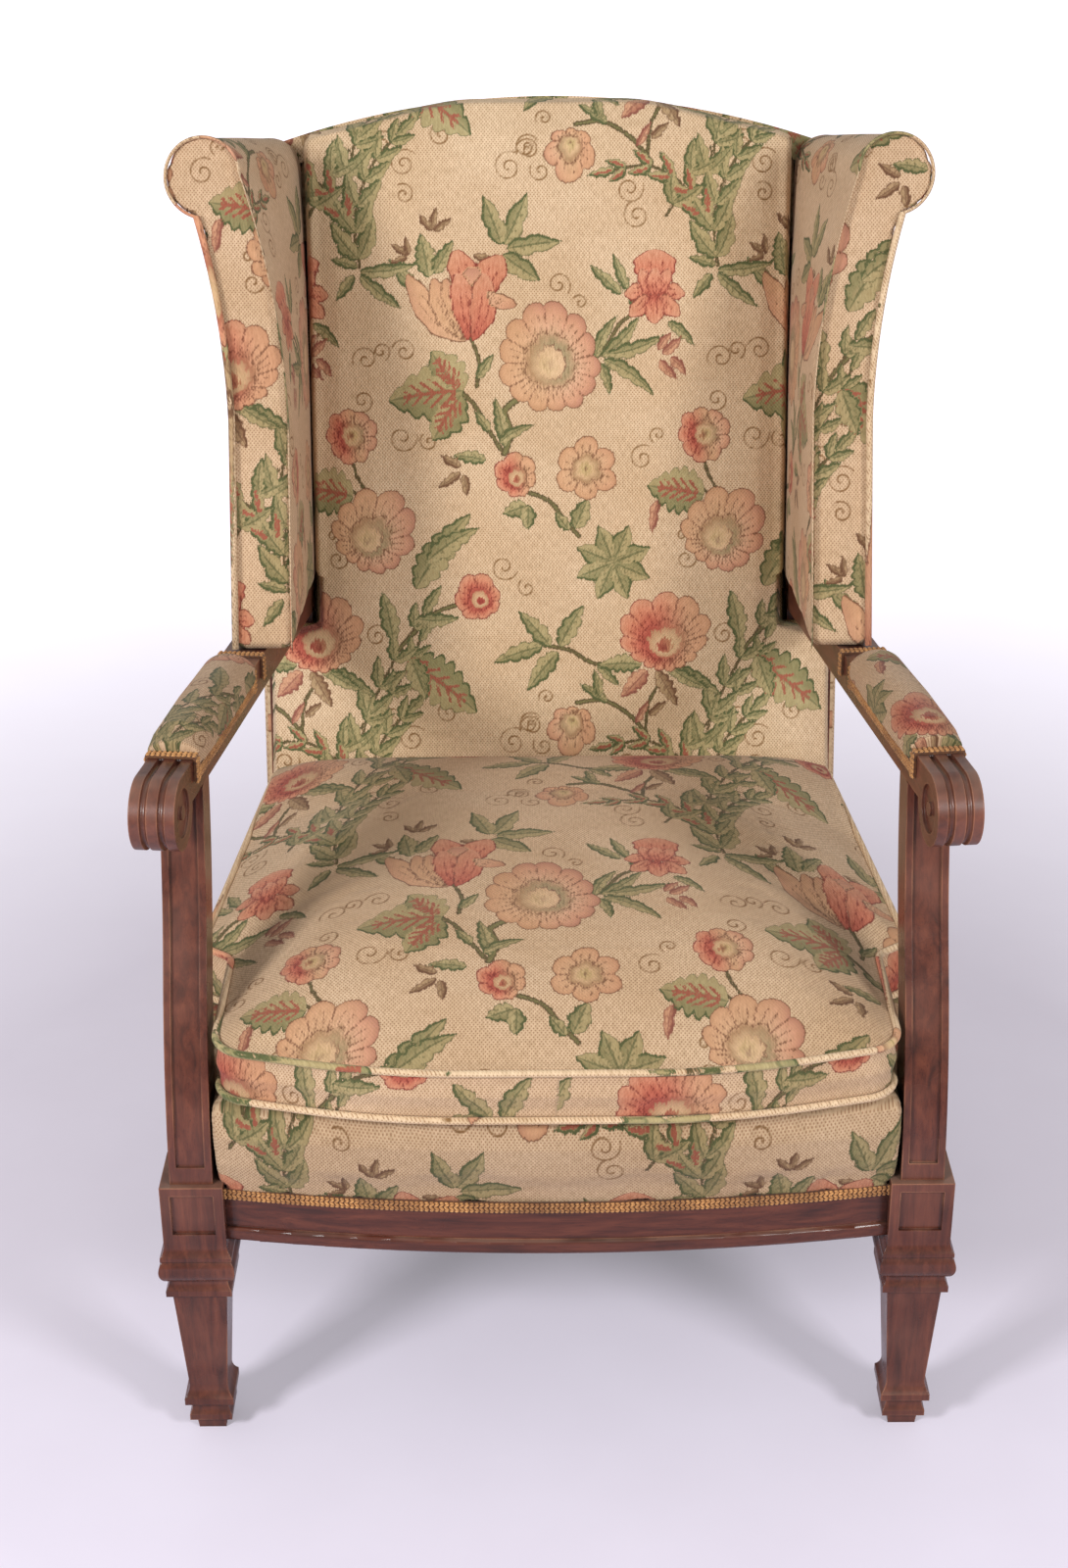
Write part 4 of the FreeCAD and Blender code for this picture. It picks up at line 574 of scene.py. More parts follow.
def tapestry_cloth(name, soil_and_shade):
    """The woven cloth: beige dotted ground, figures in coral, tan, green and brown, and a darkening tint that
    is soil, and on the seat border also painted shade.
    """
    material, tree, shader = new_material(name)
    cloth = wire(tree, "ShaderNodeUVMap", uv_map="cloth").outputs[0]
    parts = {}
    for channel in ("flower", "foliage", "lines"):
        vector = wire(tree, "ShaderNodeAttribute", attribute_name=channel).outputs["Vector"]
        parts[channel] = wire(tree, "ShaderNodeSeparateXYZ", {0: vector}).outputs
    bloom_edge, bloom_ring, hue = parts["flower"]
    leaf_edge, side, tint = parts["foliage"]
    stem_edge, curl, crease = parts["lines"]
    along = wire(tree, "ShaderNodeSeparateXYZ", {0: cloth}).outputs
    across_wave = number(tree, "SINE", number(tree, "MULTIPLY", along[0], 2 * math.pi / WEAVE_WIDE))
    up_wave = number(tree, "SINE", number(tree, "MULTIPLY", along[1], 2 * math.pi / WEAVE_HIGH))
    lattice = number(tree, "MULTIPLY", across_wave, up_wave)
    rib = number(tree, "SINE", number(tree, "MULTIPLY", along[1], 8 * math.pi / WEAVE_HIGH))
    streak_place = wire(tree, "ShaderNodeMapping", {"Vector": cloth, "Scale": (520.0, 130.0, 1.0)}).outputs[0]
    streaks = noise(tree, streak_place, 1.0, 2.0)
    fade = noise(tree, cloth, 9.0, 3.0)
    jog = number(tree, "MULTIPLY", number(tree, "SUBTRACT", streaks, 0.5), 4.0)
    fray = number(tree, "ADD", jog, number(tree, "MULTIPLY", lattice, 0.5))

    def yarn(distance):
        return number(tree, "ADD", distance, fray)

    def depth(distance):
        return number(tree, "MULTIPLY", distance, -1.0)

    dot = between(tree, lattice, 0.2, 0.65, 0.0, 0.8)
    tone = mixed(tree, dot, GROUND, GROUND_DOT)
    tone = mixed(tree, below(tree, curl, 1.0, 0.5), tone, colour(150, 116, 76))
    stem = yarn(stem_edge)
    stem_tone = mixed(tree, below(tree, stem, -1.5, 0.5), colour(104, 92, 62), colour(136, 132, 88))
    tone = mixed(tree, below(tree, stem, 0.0, 0.4), tone, stem_tone)
    inside_leaf = yarn(leaf_edge)
    pink_leaf = between(tree, tint, 1.1, 1.3)
    brown_leaf = between(tree, tint, 0.7, 0.85)
    red_leaf = number(tree, "SUBTRACT", between(tree, tint, 0.2, 0.35), brown_leaf, clamp=True)
    light = mixed(tree, pink_leaf, mixed(tree, brown_leaf, colour(188, 174, 128), colour(190, 162, 124)),
                  colour(218, 168, 134))
    dark = mixed(tree, pink_leaf, mixed(tree, brown_leaf, colour(156, 150, 106), colour(158, 126, 94)),
                 colour(190, 132, 106))
    edge = mixed(tree, pink_leaf, mixed(tree, brown_leaf, colour(98, 106, 68), colour(124, 92, 68)),
                 colour(154, 98, 82))
    shaded = between(tree, number(tree, "ADD", side, number(tree, "MULTIPLY", jog, 0.3)), -0.05, 0.45)
    leaf_tone = mixed(tree, shaded, light, dark)
    midrib = below(tree, number(tree, "ABSOLUTE", side), 0.1, 0.06)
    leaf_tone = mixed(tree, number(tree, "MULTIPLY", midrib, 0.6), leaf_tone, edge)
    red_rib = number(tree, "MULTIPLY", below(tree, yarn(crease), 1.5, 0.5), red_leaf)
    leaf_tone = mixed(tree, red_rib, leaf_tone, colour(176, 106, 84))
    vein = number(tree, "SUBTRACT", below(tree, yarn(crease), 0.7, 0.5), red_leaf, clamp=True)
    leaf_tone = mixed(tree, number(tree, "MULTIPLY", vein, 0.55), leaf_tone, edge)
    rim = number(tree, "SUBTRACT", depth(inside_leaf), between(tree, side, -0.6, 0.6, 0.6, 2.6))
    leaf_tone = mixed(tree, below(tree, rim, 0.0, 0.5), leaf_tone, edge)
    tone = mixed(tree, below(tree, inside_leaf, 0.0, 0.4), tone, leaf_tone)
    inside_bloom = yarn(bloom_edge)
    ring = number(tree, "ADD", bloom_ring, number(tree, "MULTIPLY", jog, 0.07))
    coral = ramp(tree, ring, [(0.0, colour(156, 68, 60)), (0.16, colour(182, 90, 76)),
                              (0.2, colour(220, 186, 146)), (0.34, colour(206, 162, 124)),
                              (0.4, colour(184, 92, 78)), (0.6, colour(204, 116, 94)),
                              (0.8, colour(220, 146, 116)), (1.0, colour(226, 168, 136))])
    tan = ramp(tree, ring, [(0.0, colour(120, 82, 60)), (0.12, colour(206, 182, 130)),
                            (0.3, colour(226, 192, 150)), (0.42, colour(186, 150, 112)),
                            (0.6, colour(226, 184, 144)), (0.88, colour(224, 178, 138)),
                            (1.0, colour(208, 162, 124))])
    pale = ramp(tree, ring, [(0.0, colour(236, 204, 164)), (0.27, colour(234, 200, 160)),
                             (0.3, colour(132, 94, 74)), (0.34, colour(178, 162, 124)),
                             (0.46, colour(196, 166, 130)), (0.58, colour(232, 188, 154)),
                             (0.84, colour(226, 172, 140)), (1.0, colour(196, 142, 118))])
    petal_tone = mixed(tree, between(tree, hue, 0.15, 0.6), coral, tan)
    petal_tone = mixed(tree, between(tree, hue, 0.66, 0.95), petal_tone, pale)
    outline = mixed(tree, between(tree, hue, 0.15, 0.5), colour(142, 62, 54), colour(134, 94, 70))
    line = below(tree, yarn(crease), 0.85, 0.6)
    petal_tone = mixed(tree, number(tree, "MULTIPLY", line, 0.8), petal_tone, outline)
    petal_tone = mixed(tree, below(tree, depth(inside_bloom), 1.0, 0.5), petal_tone, outline)
    tone = mixed(tree, below(tree, inside_bloom, 0.0, 0.4), tone, petal_tone)
    shade = ramp(tree, streaks, [(0.3, colour(226, 222, 216)), (0.7, colour(255, 255, 255))])
    tone = mixed(tree, 1.0, tone, shade, "MULTIPLY")
    old = ramp(tree, fade, [(0.3, colour(238, 232, 224)), (0.7, colour(255, 255, 255))])
    tone = mixed(tree, 1.0, tone, old, "MULTIPLY")
    # Darkening tint: soil, and on the seat border also painted shade.
    tone = mixed(tree, 1.0, tone, soil_and_shade, "MULTIPLY")
    tree.links.new(tone, shader.inputs["Base Color"])
    shader.inputs["Roughness"].default_value = 0.88
    shader.inputs["Specular IOR Level"].default_value = 0.2
    shader.inputs["Sheen Weight"].default_value = 0.1
    height = number(tree, "ADD", number(tree, "MULTIPLY", lattice, -0.7), number(tree, "MULTIPLY", rib, 0.2))
    height = number(tree, "ADD", height, streaks)
    relief = wire(tree, "ShaderNodeBump", {"Strength": 0.55, "Distance": 0.0005, "Height": height}).outputs[0]
    tree.links.new(relief, shader.inputs["Normal"])
    return material


tapestry = tapestry_cloth("floral_tapestry", colour(255, 254, 255))


# Inside back: horsehair and wool stuffed over webbing, raked back, drawn tight over the arched crest.
# The cloth is tacked behind the wings and under the arms, and runs down behind the cushion.


def plain_mesh(thing, name):
    """The evaluated object as a plain mesh, with its modifiers gone."""
    seen = thing.evaluated_get(bpy.context.evaluated_depsgraph_get())
    mesh = bpy.data.meshes.new_from_object(seen)
    mesh.name = name
    old = thing.data
    thing.modifiers.clear()
    thing.data = mesh
    bpy.data.meshes.remove(old)
    return thing


def loose_copy(name, node):
    """A copy of a solid's mesh with its corners joined."""
    shell = bmesh.new()
    shell.from_mesh(nodes[node].data)
    bmesh.ops.remove_doubles(shell, verts=shell.verts, dist=1e-6)
    mesh = bpy.data.meshes.new(name)
    shell.to_mesh(mesh)
    shell.free()
    return new_object(name, mesh)


def vertex_places(mesh):
    places = np.empty(len(mesh.vertices) * 3)
    mesh.vertices.foreach_get("co", places)
    return places.reshape(-1, 3)


SWELL_FRAMES = 20


def swelling(piece, pressure, cap, hold):
    """How far each point of a piece moves when its cover is blown up as cloth, held along its seams."""
    before = vertex_places(piece.data)
    balloon = new_object("balloon", piece.data.copy())
    cloth = balloon.modifiers.new("cloth", "CLOTH")
    cloth.settings.quality = 5
    cloth.settings.mass = 0.3
    cloth.settings.use_pressure = True
    cloth.settings.uniform_pressure_force = pressure
    cloth.settings.effector_weights.gravity = 0.0
    if hold is not None:
        held = balloon.vertex_groups.new(name="held")
        held.add([int(i) for i in np.flatnonzero(hold(before))], 1.0, "REPLACE")
        cloth.settings.vertex_group_mass = "held"
    for step in range(1, SWELL_FRAMES + 1):
        bpy.context.scene.frame_set(step)
    plain_mesh(balloon, "balloon")
    bpy.context.scene.frame_set(1)
    move = vertex_places(balloon.data) - before
    bpy.data.meshes.remove(balloon.data)
    length = np.maximum(np.linalg.norm(move, axis=1, keepdims=True), 1e-9)
    return move * np.minimum(1.0, cap / length)


def stuffed(name, node, voxel, shown, pressure=0.0, cap=0.0, hold=None):
    """Padded piece: the solid in even squares, refined where it shows, and swollen as cloth over it."""
    piece = loose_copy(name, node)
    grid = piece.modifiers.new("squares", "REMESH")
    grid.mode = "VOXEL"
    grid.voxel_size = voxel
    plain_mesh(piece, name)
    if pressure:
        swell = piece.data.attributes.new("swell", "FLOAT_VECTOR", "POINT")
        swell.data.foreach_set("vector", swelling(piece, pressure, cap, hold).ravel())
    smooth = piece.modifiers.new("smooth", "SUBSURF")
    smooth.levels = 1
    smooth.render_levels = 1
    plain_mesh(piece, name)
    fine = bmesh.new()
    fine.from_mesh(piece.data)
    edges = {edge for face in fine.faces if shown(face) for edge in face.edges}
    bmesh.ops.subdivide_edges(fine, edges=list(edges), cuts=1, use_grid_fill=True)
    fine.to_mesh(piece.data)
    fine.free()
    laid = piece.modifiers.new("laid", "SHRINKWRAP")
    laid.target = nodes[node]
    plain_mesh(piece, name)
    if pressure:
        swell = np.empty(len(piece.data.vertices) * 3)
        piece.data.attributes["swell"].data.foreach_get("vector", swell)
        piece.data.vertices.foreach_set("co", vertex_places(piece.data).ravel() + swell)
        piece.data.attributes.remove(piece.data.attributes["swell"])
    piece.data.shade_smooth()
    return piece


def sewn_to(piece, cord, reach):
    """Draws the cover in to a cord that is sewn into its seam."""
    around_cord = BVHTree.FromObject(nodes[cord], bpy.context.evaluated_depsgraph_get())
    for vertex in piece.data.vertices:
        spot, _, _, gap = around_cord.find_nearest(vertex.co, reach)
        if spot is not None:
            vertex.co = vertex.co.lerp(spot, 1 - (gap / reach) ** 2)
    piece.data.update()


def cut_from_cloth(piece, region_of, places_on_cloth, woven=tapestry):
    """Gives every corner its place on the cloth and its distances to the figures there."""
    mesh = piece.data
    places = vertex_places(mesh)
    count = len(mesh.polygons)
    normals = np.empty(count * 3)
    mesh.polygons.foreach_get("normal", normals)
    centres = np.empty(count * 3)
    mesh.polygons.foreach_get("center", centres)
    totals = np.empty(count, int)
    mesh.polygons.foreach_get("loop_total", totals)
    corners = np.empty(len(mesh.loops), int)
    mesh.loops.foreach_get("vertex_index", corners)
    region = region_of(centres.reshape(-1, 3), normals.reshape(-1, 3)).astype(int)
    regions = region.max() + 1
    keys = corners * regions + np.repeat(region, totals)
    unique, back = np.unique(keys, return_inverse=True)
    cloth = places_on_cloth(unique % regions, places[unique // regions])
    flower, foliage, lines = woven_figures(cloth)
    sheet = mesh.uv_layers.new(name="cloth")
    sheet.data.foreach_set("uv", (cloth[back] / 1000).ravel())
    for channel, values in (("flower", flower), ("foliage", foliage), ("lines", lines)):
        layer = mesh.attributes.new(channel, "FLOAT_VECTOR", "CORNER")
        layer.data.foreach_set("vector", values[back].ravel())
    mesh.materials.clear()
    mesh.materials.append(woven)
    return piece


def one_cut(centres, normals):
    """The whole piece is cut from one stretch of the cloth."""
    return np.zeros(len(centres))


RAKE = math.radians(14)
CREST_FOLD = 38
RAKE_FOOT = Vector((0.0, BLOCK_FRONT + 0.575, 0.296))
to_back = np.array([[1, 0, 0], [0, math.cos(RAKE), -math.sin(RAKE)], [0, math.sin(RAKE), math.cos(RAKE)]])


def on_back(places):
    """Places in the back's own frame: across, out of its face, and up along it."""
    return (places - np.array(RAKE_FOOT)) @ to_back.T


def back_cloth(region, places):
    across, out, up = (on_back(places) * 1000).T
    over = np.maximum(out + CREST_FOLD, 0)
    return np.stack([across, up + over], axis=1)


WING_MEETS = 0.235
WING_PRESS = 0.004
ARM_LEVEL = 0.62
inside_back = stuffed("inside_back", "inside_back", voxel=0.008, shown=lambda face: face.normal.y < 0.2,
                      pressure=2.5, cap=0.004)
for vertex in inside_back.data.vertices:
    if abs(vertex.co.x) > WING_MEETS and vertex.co.z > ARM_LEVEL:
        vertex.co.x += math.copysign(WING_PRESS, vertex.co.x)
for side in SIDES:
    sewn_to(inside_back, f"back_piping_{side}", reach=0.014)
cut_from_cloth(inside_back, one_cut, back_cloth)
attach(inside_back, "chair")
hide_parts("inside_back")

# Crest and outside back: the cloth goes on over the padded crest, and a flat panel closes the rear.
# Narrow strips cover the sides of the back posts, corded along their rear edge.

PANEL_STEP = 0.006


def cut_in_squares(name, node, step):
    """Thin cover: the solid's own faces, cut into even squares."""
    piece = loose_copy(name, node)
    squares = bmesh.new()
    squares.from_mesh(piece.data)
    low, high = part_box(node)
    for axis in range(3):
        way = Vector((axis == 0, axis == 1, axis == 2))
        for cut in range(1, int((high[axis] - low[axis]) / step)):
            everything = squares.verts[:] + squares.edges[:] + squares.faces[:]
            bmesh.ops.bisect_plane(squares, geom=everything, plane_co=low + way * step * cut, plane_no=way)
    squares.to_mesh(piece.data)
    squares.free()
    return piece


for name in ("crest_pad", "outside_back"):
    panel = cut_in_squares(name, name, PANEL_STEP)
    cut_from_cloth(panel, one_cut, back_cloth)
    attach(panel, "chair")
    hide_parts(name)
for side in SIDES:
    strip = cut_in_squares(f"back_side_cover_{side}", f"back_side_cover_{side}", PANEL_STEP)
    cut_from_cloth(strip, one_cut, lambda region, places: (on_back(places) * 1000)[:, 1:])
    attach(strip, "chair")
    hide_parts(f"back_side_cover_{side}")

# Wings: stuffed round an upright and a top rail, with a flat corded front and a rolled head.
# Inside and outside are two cuts of the cloth, seamed to the front strip under the cord.

WING_LEAN = math.radians(20.9)
wing_tapestry = tapestry_cloth("floral_tapestry_wings", colour(240, 234, 234))
WING_FRONT_FACING = 0.72
WING_FRONT_CUT = (60, -90)
WING_FLANK_CUT = (100, -300)
WING_ROLL_FROM = 250
WING_SEAT = 0.012
WING_SETTLE = 0.004
ARM_PIVOT = Vector((0.322, BLOCK_FRONT + 0.130, 0.650))
ARM_FLARE = math.radians(5.7)
ARM_PITCH = math.radians(-4.7)


def arm_frame(sign):
    """The frame of an arm: its length along y, and its width along x."""
    place = Matrix.Translation((sign * ARM_PIVOT.x, ARM_PIVOT.y, ARM_PIVOT.z))
    return place @ Matrix.Rotation(sign * ARM_FLARE, 4, "Z") @ Matrix.Rotation(ARM_PITCH, 4, "X")


for side, sign in SIDES.items():
    wing = stuffed(f"wing_{side}", f"wing_{side}", voxel=0.0075, shown=lambda face: face.normal.y < 0.8,
                   pressure=1.5, cap=0.002)
    sewn_to(wing, f"wing_piping_{side}", reach=0.007)
    to_arm = arm_frame(sign).inverted()
    for vertex in wing.data.vertices:
        above = (to_arm @ vertex.co).z
        if above < WING_SEAT:
            vertex.co.z -= WING_SETTLE * (1 - max(above, 0) / WING_SEAT)

    def wing_region(centres, normals, sign=sign):
        forward = -normals[:, 1] * math.cos(WING_LEAN) + normals[:, 2] * math.sin(WING_LEAN)
        return np.where(forward > WING_FRONT_FACING, 2, np.where(normals[:, 0] * sign < 0, 0, 1))

    def wing_cloth(region, places, sign=sign):
        x, y, z = (places * 1000).T
        front = np.stack([x - sign * WING_FRONT_CUT[0], z / math.cos(WING_LEAN) + WING_FRONT_CUT[1]], axis=1)
        roll = (np.abs(x) - WING_ROLL_FROM) * 0.6
        flank = np.stack([sign * (y * 1.02 + WING_FLANK_CUT[0]), z + WING_FLANK_CUT[1] + roll], axis=1)
        return np.where((region == 2)[:, None], front, flank)

    cut_from_cloth(wing, wing_region, wing_cloth, wing_tapestry)
    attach(wing, "chair")
    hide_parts(f"wing_{side}")

# Seat borders: stuffed bands nailed into the rails' rebates, bulging over the braid.
# The front one follows the bow of the rail; the side ones run back from the arm posts.
# Between them, under the cushion, the deck is stuffed flat.

seat_tapestry = tapestry_cloth("floral_tapestry_seat", colour(238, 232, 232))
# Painted shade: the border's cloth is tinted darker than the seat's, for soil and for the shade under the
# overhanging cushion.
shaded_border_tapestry = tapestry_cloth("floral_tapestry_border", colour(220, 214, 212))
FRONT_CUT = (42, 370)
SIDE_CUT = (60, 330)
BULGE_SHARE = 0.5
TUCK_REACH = 0.016
TUCK = 0.010
under_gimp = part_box("seat_gimp")[1].z
for name in ("seat_front_border", "seat_side_border_left", "seat_side_border_right"):
    band = stuffed(name, name, voxel=0.007, shown=lambda face: face.normal.z < 0.6, pressure=1.5, cap=0.003)
    for vertex in band.data.vertices:
        if vertex.co.z < under_gimp + TUCK_REACH:
            vertex.co.z -= TUCK * (1 - max(vertex.co.z - under_gimp, 0) / TUCK_REACH)

    def band_cloth(region, places, name=name):
        x, y, z = (places * 1000).T
        depth = y - BLOCK_FRONT * 1000
        if name == "seat_front_border":
            return np.stack([x + FRONT_CUT[0], z - depth * BULGE_SHARE + FRONT_CUT[1]], axis=1)
        return np.stack([depth * np.sign(x) + SIDE_CUT[0], z + SIDE_CUT[1] - np.abs(x) * BULGE_SHARE], axis=1)

    cut_from_cloth(band, one_cut, band_cloth, shaded_border_tapestry)
    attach(band, "chair")
    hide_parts(name)
deck = stuffed("seat_deck", "seat_stuffing", voxel=0.012, shown=lambda face: False)
cut_from_cloth(deck, one_cut, lambda region, places: places[:, :2] * 1000)
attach(deck, "chair")
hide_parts("seat_stuffing")

# Seat cushion: a loose feather cushion, boxed all round and corded along both seams.
# Its cover is cut so that the big flower sits in the middle of the seat, as on the back.

CUSHION_CUT = (12, 342)
CUSHION_NOSE = 25
CROWN_AT = [0, 70, 190, 300, 570]
CROWN_CLOTH = [0, 74, 206, 316, 592]
WALL_CUT = (40, -120)
SEAM_HALF = 0.005
PLUMP_REACH = 0.16
PLUMP = 0.012
SEAM_LOW, SEAM_HIGH = (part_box(f"cushion_piping_{end}") for end in ("bottom", "top"))
seam_low = (SEAM_LOW[0].z + SEAM_LOW[1].z) / 2
seam_front = SEAM_HIGH[0].z + (SEAM_LOW[1].z - SEAM_LOW[0].z) / 2
seam_rise = SEAM_HIGH[1].z - SEAM_HIGH[0].z - (SEAM_LOW[1].z - SEAM_LOW[0].z)
seam_slope = seam_rise / (SEAM_HIGH[1].y - SEAM_HIGH[0].y)


def seam_level(places):
    return seam_front + seam_slope * (places[:, 1] - SEAM_HIGH[0].y)


def on_seams(places):
    from_top = np.abs(places[:, 2] - seam_level(places))
    from_bottom = np.abs(places[:, 2] - seam_low)
    return np.minimum(from_top, from_bottom) < SEAM_HALF


cushion = stuffed("seat_cushion", "seat_cushion", voxel=0.008, shown=lambda face: face.normal.z > -0.5,
                  pressure=3.0, cap=0.006, hold=on_seams)
for end in ("bottom", "top"):
    sewn_to(cushion, f"cushion_piping_{end}", reach=0.009)
cushion_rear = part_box("seat_cushion")[1].y
upper = [vertex for vertex in cushion.data.vertices if vertex.normal.z > 0.2]
for vertex in upper:
    inward = cushion_rear - vertex.co.y
    if inward < PLUMP_REACH:
        vertex.co.z += PLUMP * math.sin(math.pi * (max(inward, 0) / PLUMP_REACH) ** 0.6)


def cushion_region(centres, normals):
    return np.where(centres[:, 2] > seam_level(centres), 0, np.where(centres[:, 2] < seam_low, 2, 1))


def cushion_cloth(region, places):
    x, y, z = (places * 1000).T
    depth = y - BLOCK_FRONT * 1000
    crown = np.interp(depth + CUSHION_NOSE, CROWN_AT, CROWN_CLOTH)
    top = np.stack([x + CUSHION_CUT[0], crown + CUSHION_CUT[1]], axis=1)
    wall = np.stack([x + depth * 0.6 * np.sign(x) + WALL_CUT[0], z + WALL_CUT[1]], axis=1)
    return np.where((region == 0)[:, None], top, np.where((region == 2)[:, None], top * [1, 0.9], wall))


cut_from_cloth(cushion, cushion_region, cushion_cloth, seat_tapestry)
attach(cushion, "cushion")
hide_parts("seat_cushion")

# Arm pads: small stuffed saddles on the arms, the cloth drawn over and nailed along their lower edges.
# Hands rest on them, so their cloth is more soiled than that of the back.

pad_tapestry = tapestry_cloth("floral_tapestry_arms", colour(222, 214, 214))
PAD_TOP = 20.0
PAD_HALF = 20.0
PAD_LEVEL = 0.140
PAD_STRETCH = 1.35
PAD_END = 0.199
PAD_CUTS = {"left": (-178, 160), "right": (118, 245)}
for side, sign in SIDES.items():
    elbow = stuffed(f"arm_pad_{side}", f"arm_pad_{side}", voxel=0.003, shown=lambda face: False,
                    pressure=1.0, cap=0.001)

    def elbow_cloth(region, places, side=side, sign=sign):
        back = np.array(arm_frame(sign).inverted())
        x, y, z = ((places @ back[:3, :3].T + back[:3, 3]) * 1000).T
        round_the_arm = x + np.sign(x) * np.maximum(PAD_TOP - z, 0) * np.clip(np.abs(x) / PAD_HALF, 0, 1)
        return np.stack([round_the_arm + PAD_CUTS[side][0], y + PAD_CUTS[side][1]], axis=1)

    to_arm = arm_frame(sign).inverted()
    for vertex in elbow.data.vertices:
        place = to_arm @ vertex.co
        if place.y > PAD_LEVEL:
            place.y = min(PAD_LEVEL + (place.y - PAD_LEVEL) * PAD_STRETCH, PAD_END)
            vertex.co = arm_frame(sign) @ place
    cut_from_cloth(elbow, one_cut, elbow_cloth, pad_tapestry)
    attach(elbow, "chair")
    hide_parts(f"arm_pad_{side}")

# Piping: a cotton cord wrapped in the same cloth, along the cushion's seams, the wings and the back.
# It is sewn into the seams, and the cloth on either side is drawn in to it.


def cord_cloth(region, places):
    """The cord's wrapping, cut on the slant."""
    x, y, z = (places * 1000).T
    return np.stack([x + y * 0.7, z - y * 0.9], axis=1)


for node in ("cushion_piping_top", "cushion_piping_bottom", "wing_piping_left", "wing_piping_right",
             "back_piping_left", "back_piping_right"):
    cord = loose_copy(node, node)
    cord.data.shade_smooth()
    cut_from_cloth(cord, one_cut, cord_cloth)
    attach(cord, "cushion" if node.startswith("cushion") else "chair")
    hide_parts(node)

# Braid: a golden-brown woven gimp, glued over the nailed edges of the cloth.
# Two rows of slanting strands make its chevron, and a row of small loops runs along each edge.


def golden_yarn(name, low, high):
    """Twisted yarn of one gold, dull where it has worn."""
    material, tree, shader = new_material(name)
    spot = wire(tree, "ShaderNodeTexCoord").outputs["Object"]
    twist = noise(tree, spot, 420.0, 3.0)
    worn = noise(tree, spot, 26.0, 2.0)
    gold = ramp(tree, twist, [(0.3, low), (0.7, high)])
    dull = ramp(tree, worn, [(0.35, colour(196, 186, 176)), (0.65, colour(255, 255, 255))])
    tree.links.new(mixed(tree, 1.0, gold, dull, "MULTIPLY"), shader.inputs["Base Color"])
    shader.inputs["Roughness"].default_value = 0.6
    shader.inputs["Sheen Weight"].default_value = 0.2
    return material


gimp = golden_yarn("golden_gimp", colour(150, 96, 44), colour(214, 158, 94))
gimp_ground = golden_yarn("gimp_ground", colour(70, 38, 14), colour(112, 66, 26))
for node in ("seat_gimp", "arm_gimp_left", "arm_gimp_right", "wing_gimp_left", "wing_gimp_right"):
    tape = loose_copy(f"{node}_tape", node)
    tape.data.materials.append(gimp_ground)
    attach(tape, "chair")
    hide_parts(node)

STRAND_GAP = 0.0044
CHEVRON_AT = 0.0016
LOOPS_AT = 0.0041
CHEVRON_SLANT = math.radians(36)
CHEVRON_SIZE = (0.0062, 0.0026, 0.0034)
LOOP_SIZE = (0.0038, 0.0024, 0.0030)


def braid_tree(name):
    """Strands along a path, laid flat on the path's face and turned by each row's slant."""
    tree = bpy.data.node_groups.new(name, "GeometryNodeTree")
    ports = {}
    for port, kind in (("Geometry", "NodeSocketGeometry"), ("Strand Gap", "NodeSocketFloat"),
                       ("Strand Size", "NodeSocketVector"), ("Yarn", "NodeSocketMaterial")):
        ports[port] = tree.interface.new_socket(port, in_out="INPUT", socket_type=kind)
    tree.interface.new_socket("Geometry", in_out="OUTPUT", socket_type="NodeSocketGeometry")
    given = wire(tree, "NodeGroupInput").outputs
    run = wire(tree, "GeometryNodeMeshToCurve", {"Mesh": given["Geometry"]}).outputs["Curve"]
    spots = wire(tree, "GeometryNodeResampleCurve",
                 {"Curve": run, "Length": given["Strand Gap"]}, mode="LENGTH")
    outward = wire(tree, "GeometryNodeInputNamedAttribute", {"Name": "outward"}, data_type="FLOAT_VECTOR")
    slant = wire(tree, "GeometryNodeInputNamedAttribute", {"Name": "slant"}, data_type="FLOAT")
    heading = wire(tree, "GeometryNodeInputTangent").outputs[0]
    along = wire(tree, "FunctionNodeAlignRotationToVector", {"Vector": heading}, axis="X").outputs[0]
    flat = wire(tree, "FunctionNodeAlignRotationToVector", {"Rotation": along, "Vector": outward.outputs[0]},
                axis="Z", pivot_axis="X").outputs[0]
    lean = wire(tree, "ShaderNodeCombineXYZ", {"Z": slant.outputs[0]}).outputs[0]
    turn = wire(tree, "FunctionNodeEulerToRotation", {0: lean}).outputs[0]
    laid = wire(tree, "FunctionNodeRotateRotation",
                {"Rotation": flat, "Rotate By": turn}, rotation_space="LOCAL")
    ball = wire(tree, "GeometryNodeMeshUVSphere", {"Segments": 7, "Rings": 5, "Radius": 0.5}).outputs["Mesh"]
    strands = wire(tree, "GeometryNodeInstanceOnPoints", {
        "Points": spots.outputs[0], "Instance": ball,
        "Rotation": laid.outputs[0], "Scale": given["Strand Size"]})
    whole = wire(tree, "GeometryNodeRealizeInstances", {0: strands.outputs[0]}).outputs[0]
    smooth = wire(tree, "GeometryNodeSetShadeSmooth", {"Geometry": whole}).outputs[0]
    painted = wire(tree, "GeometryNodeSetMaterial",
                   {"Geometry": smooth, "Material": given["Yarn"]}).outputs[0]
    wire(tree, "NodeGroupOutput", {0: painted})
    return tree, {name: port.identifier for name, port in ports.items()}


braid, braid_ports = braid_tree("gimp_braid")


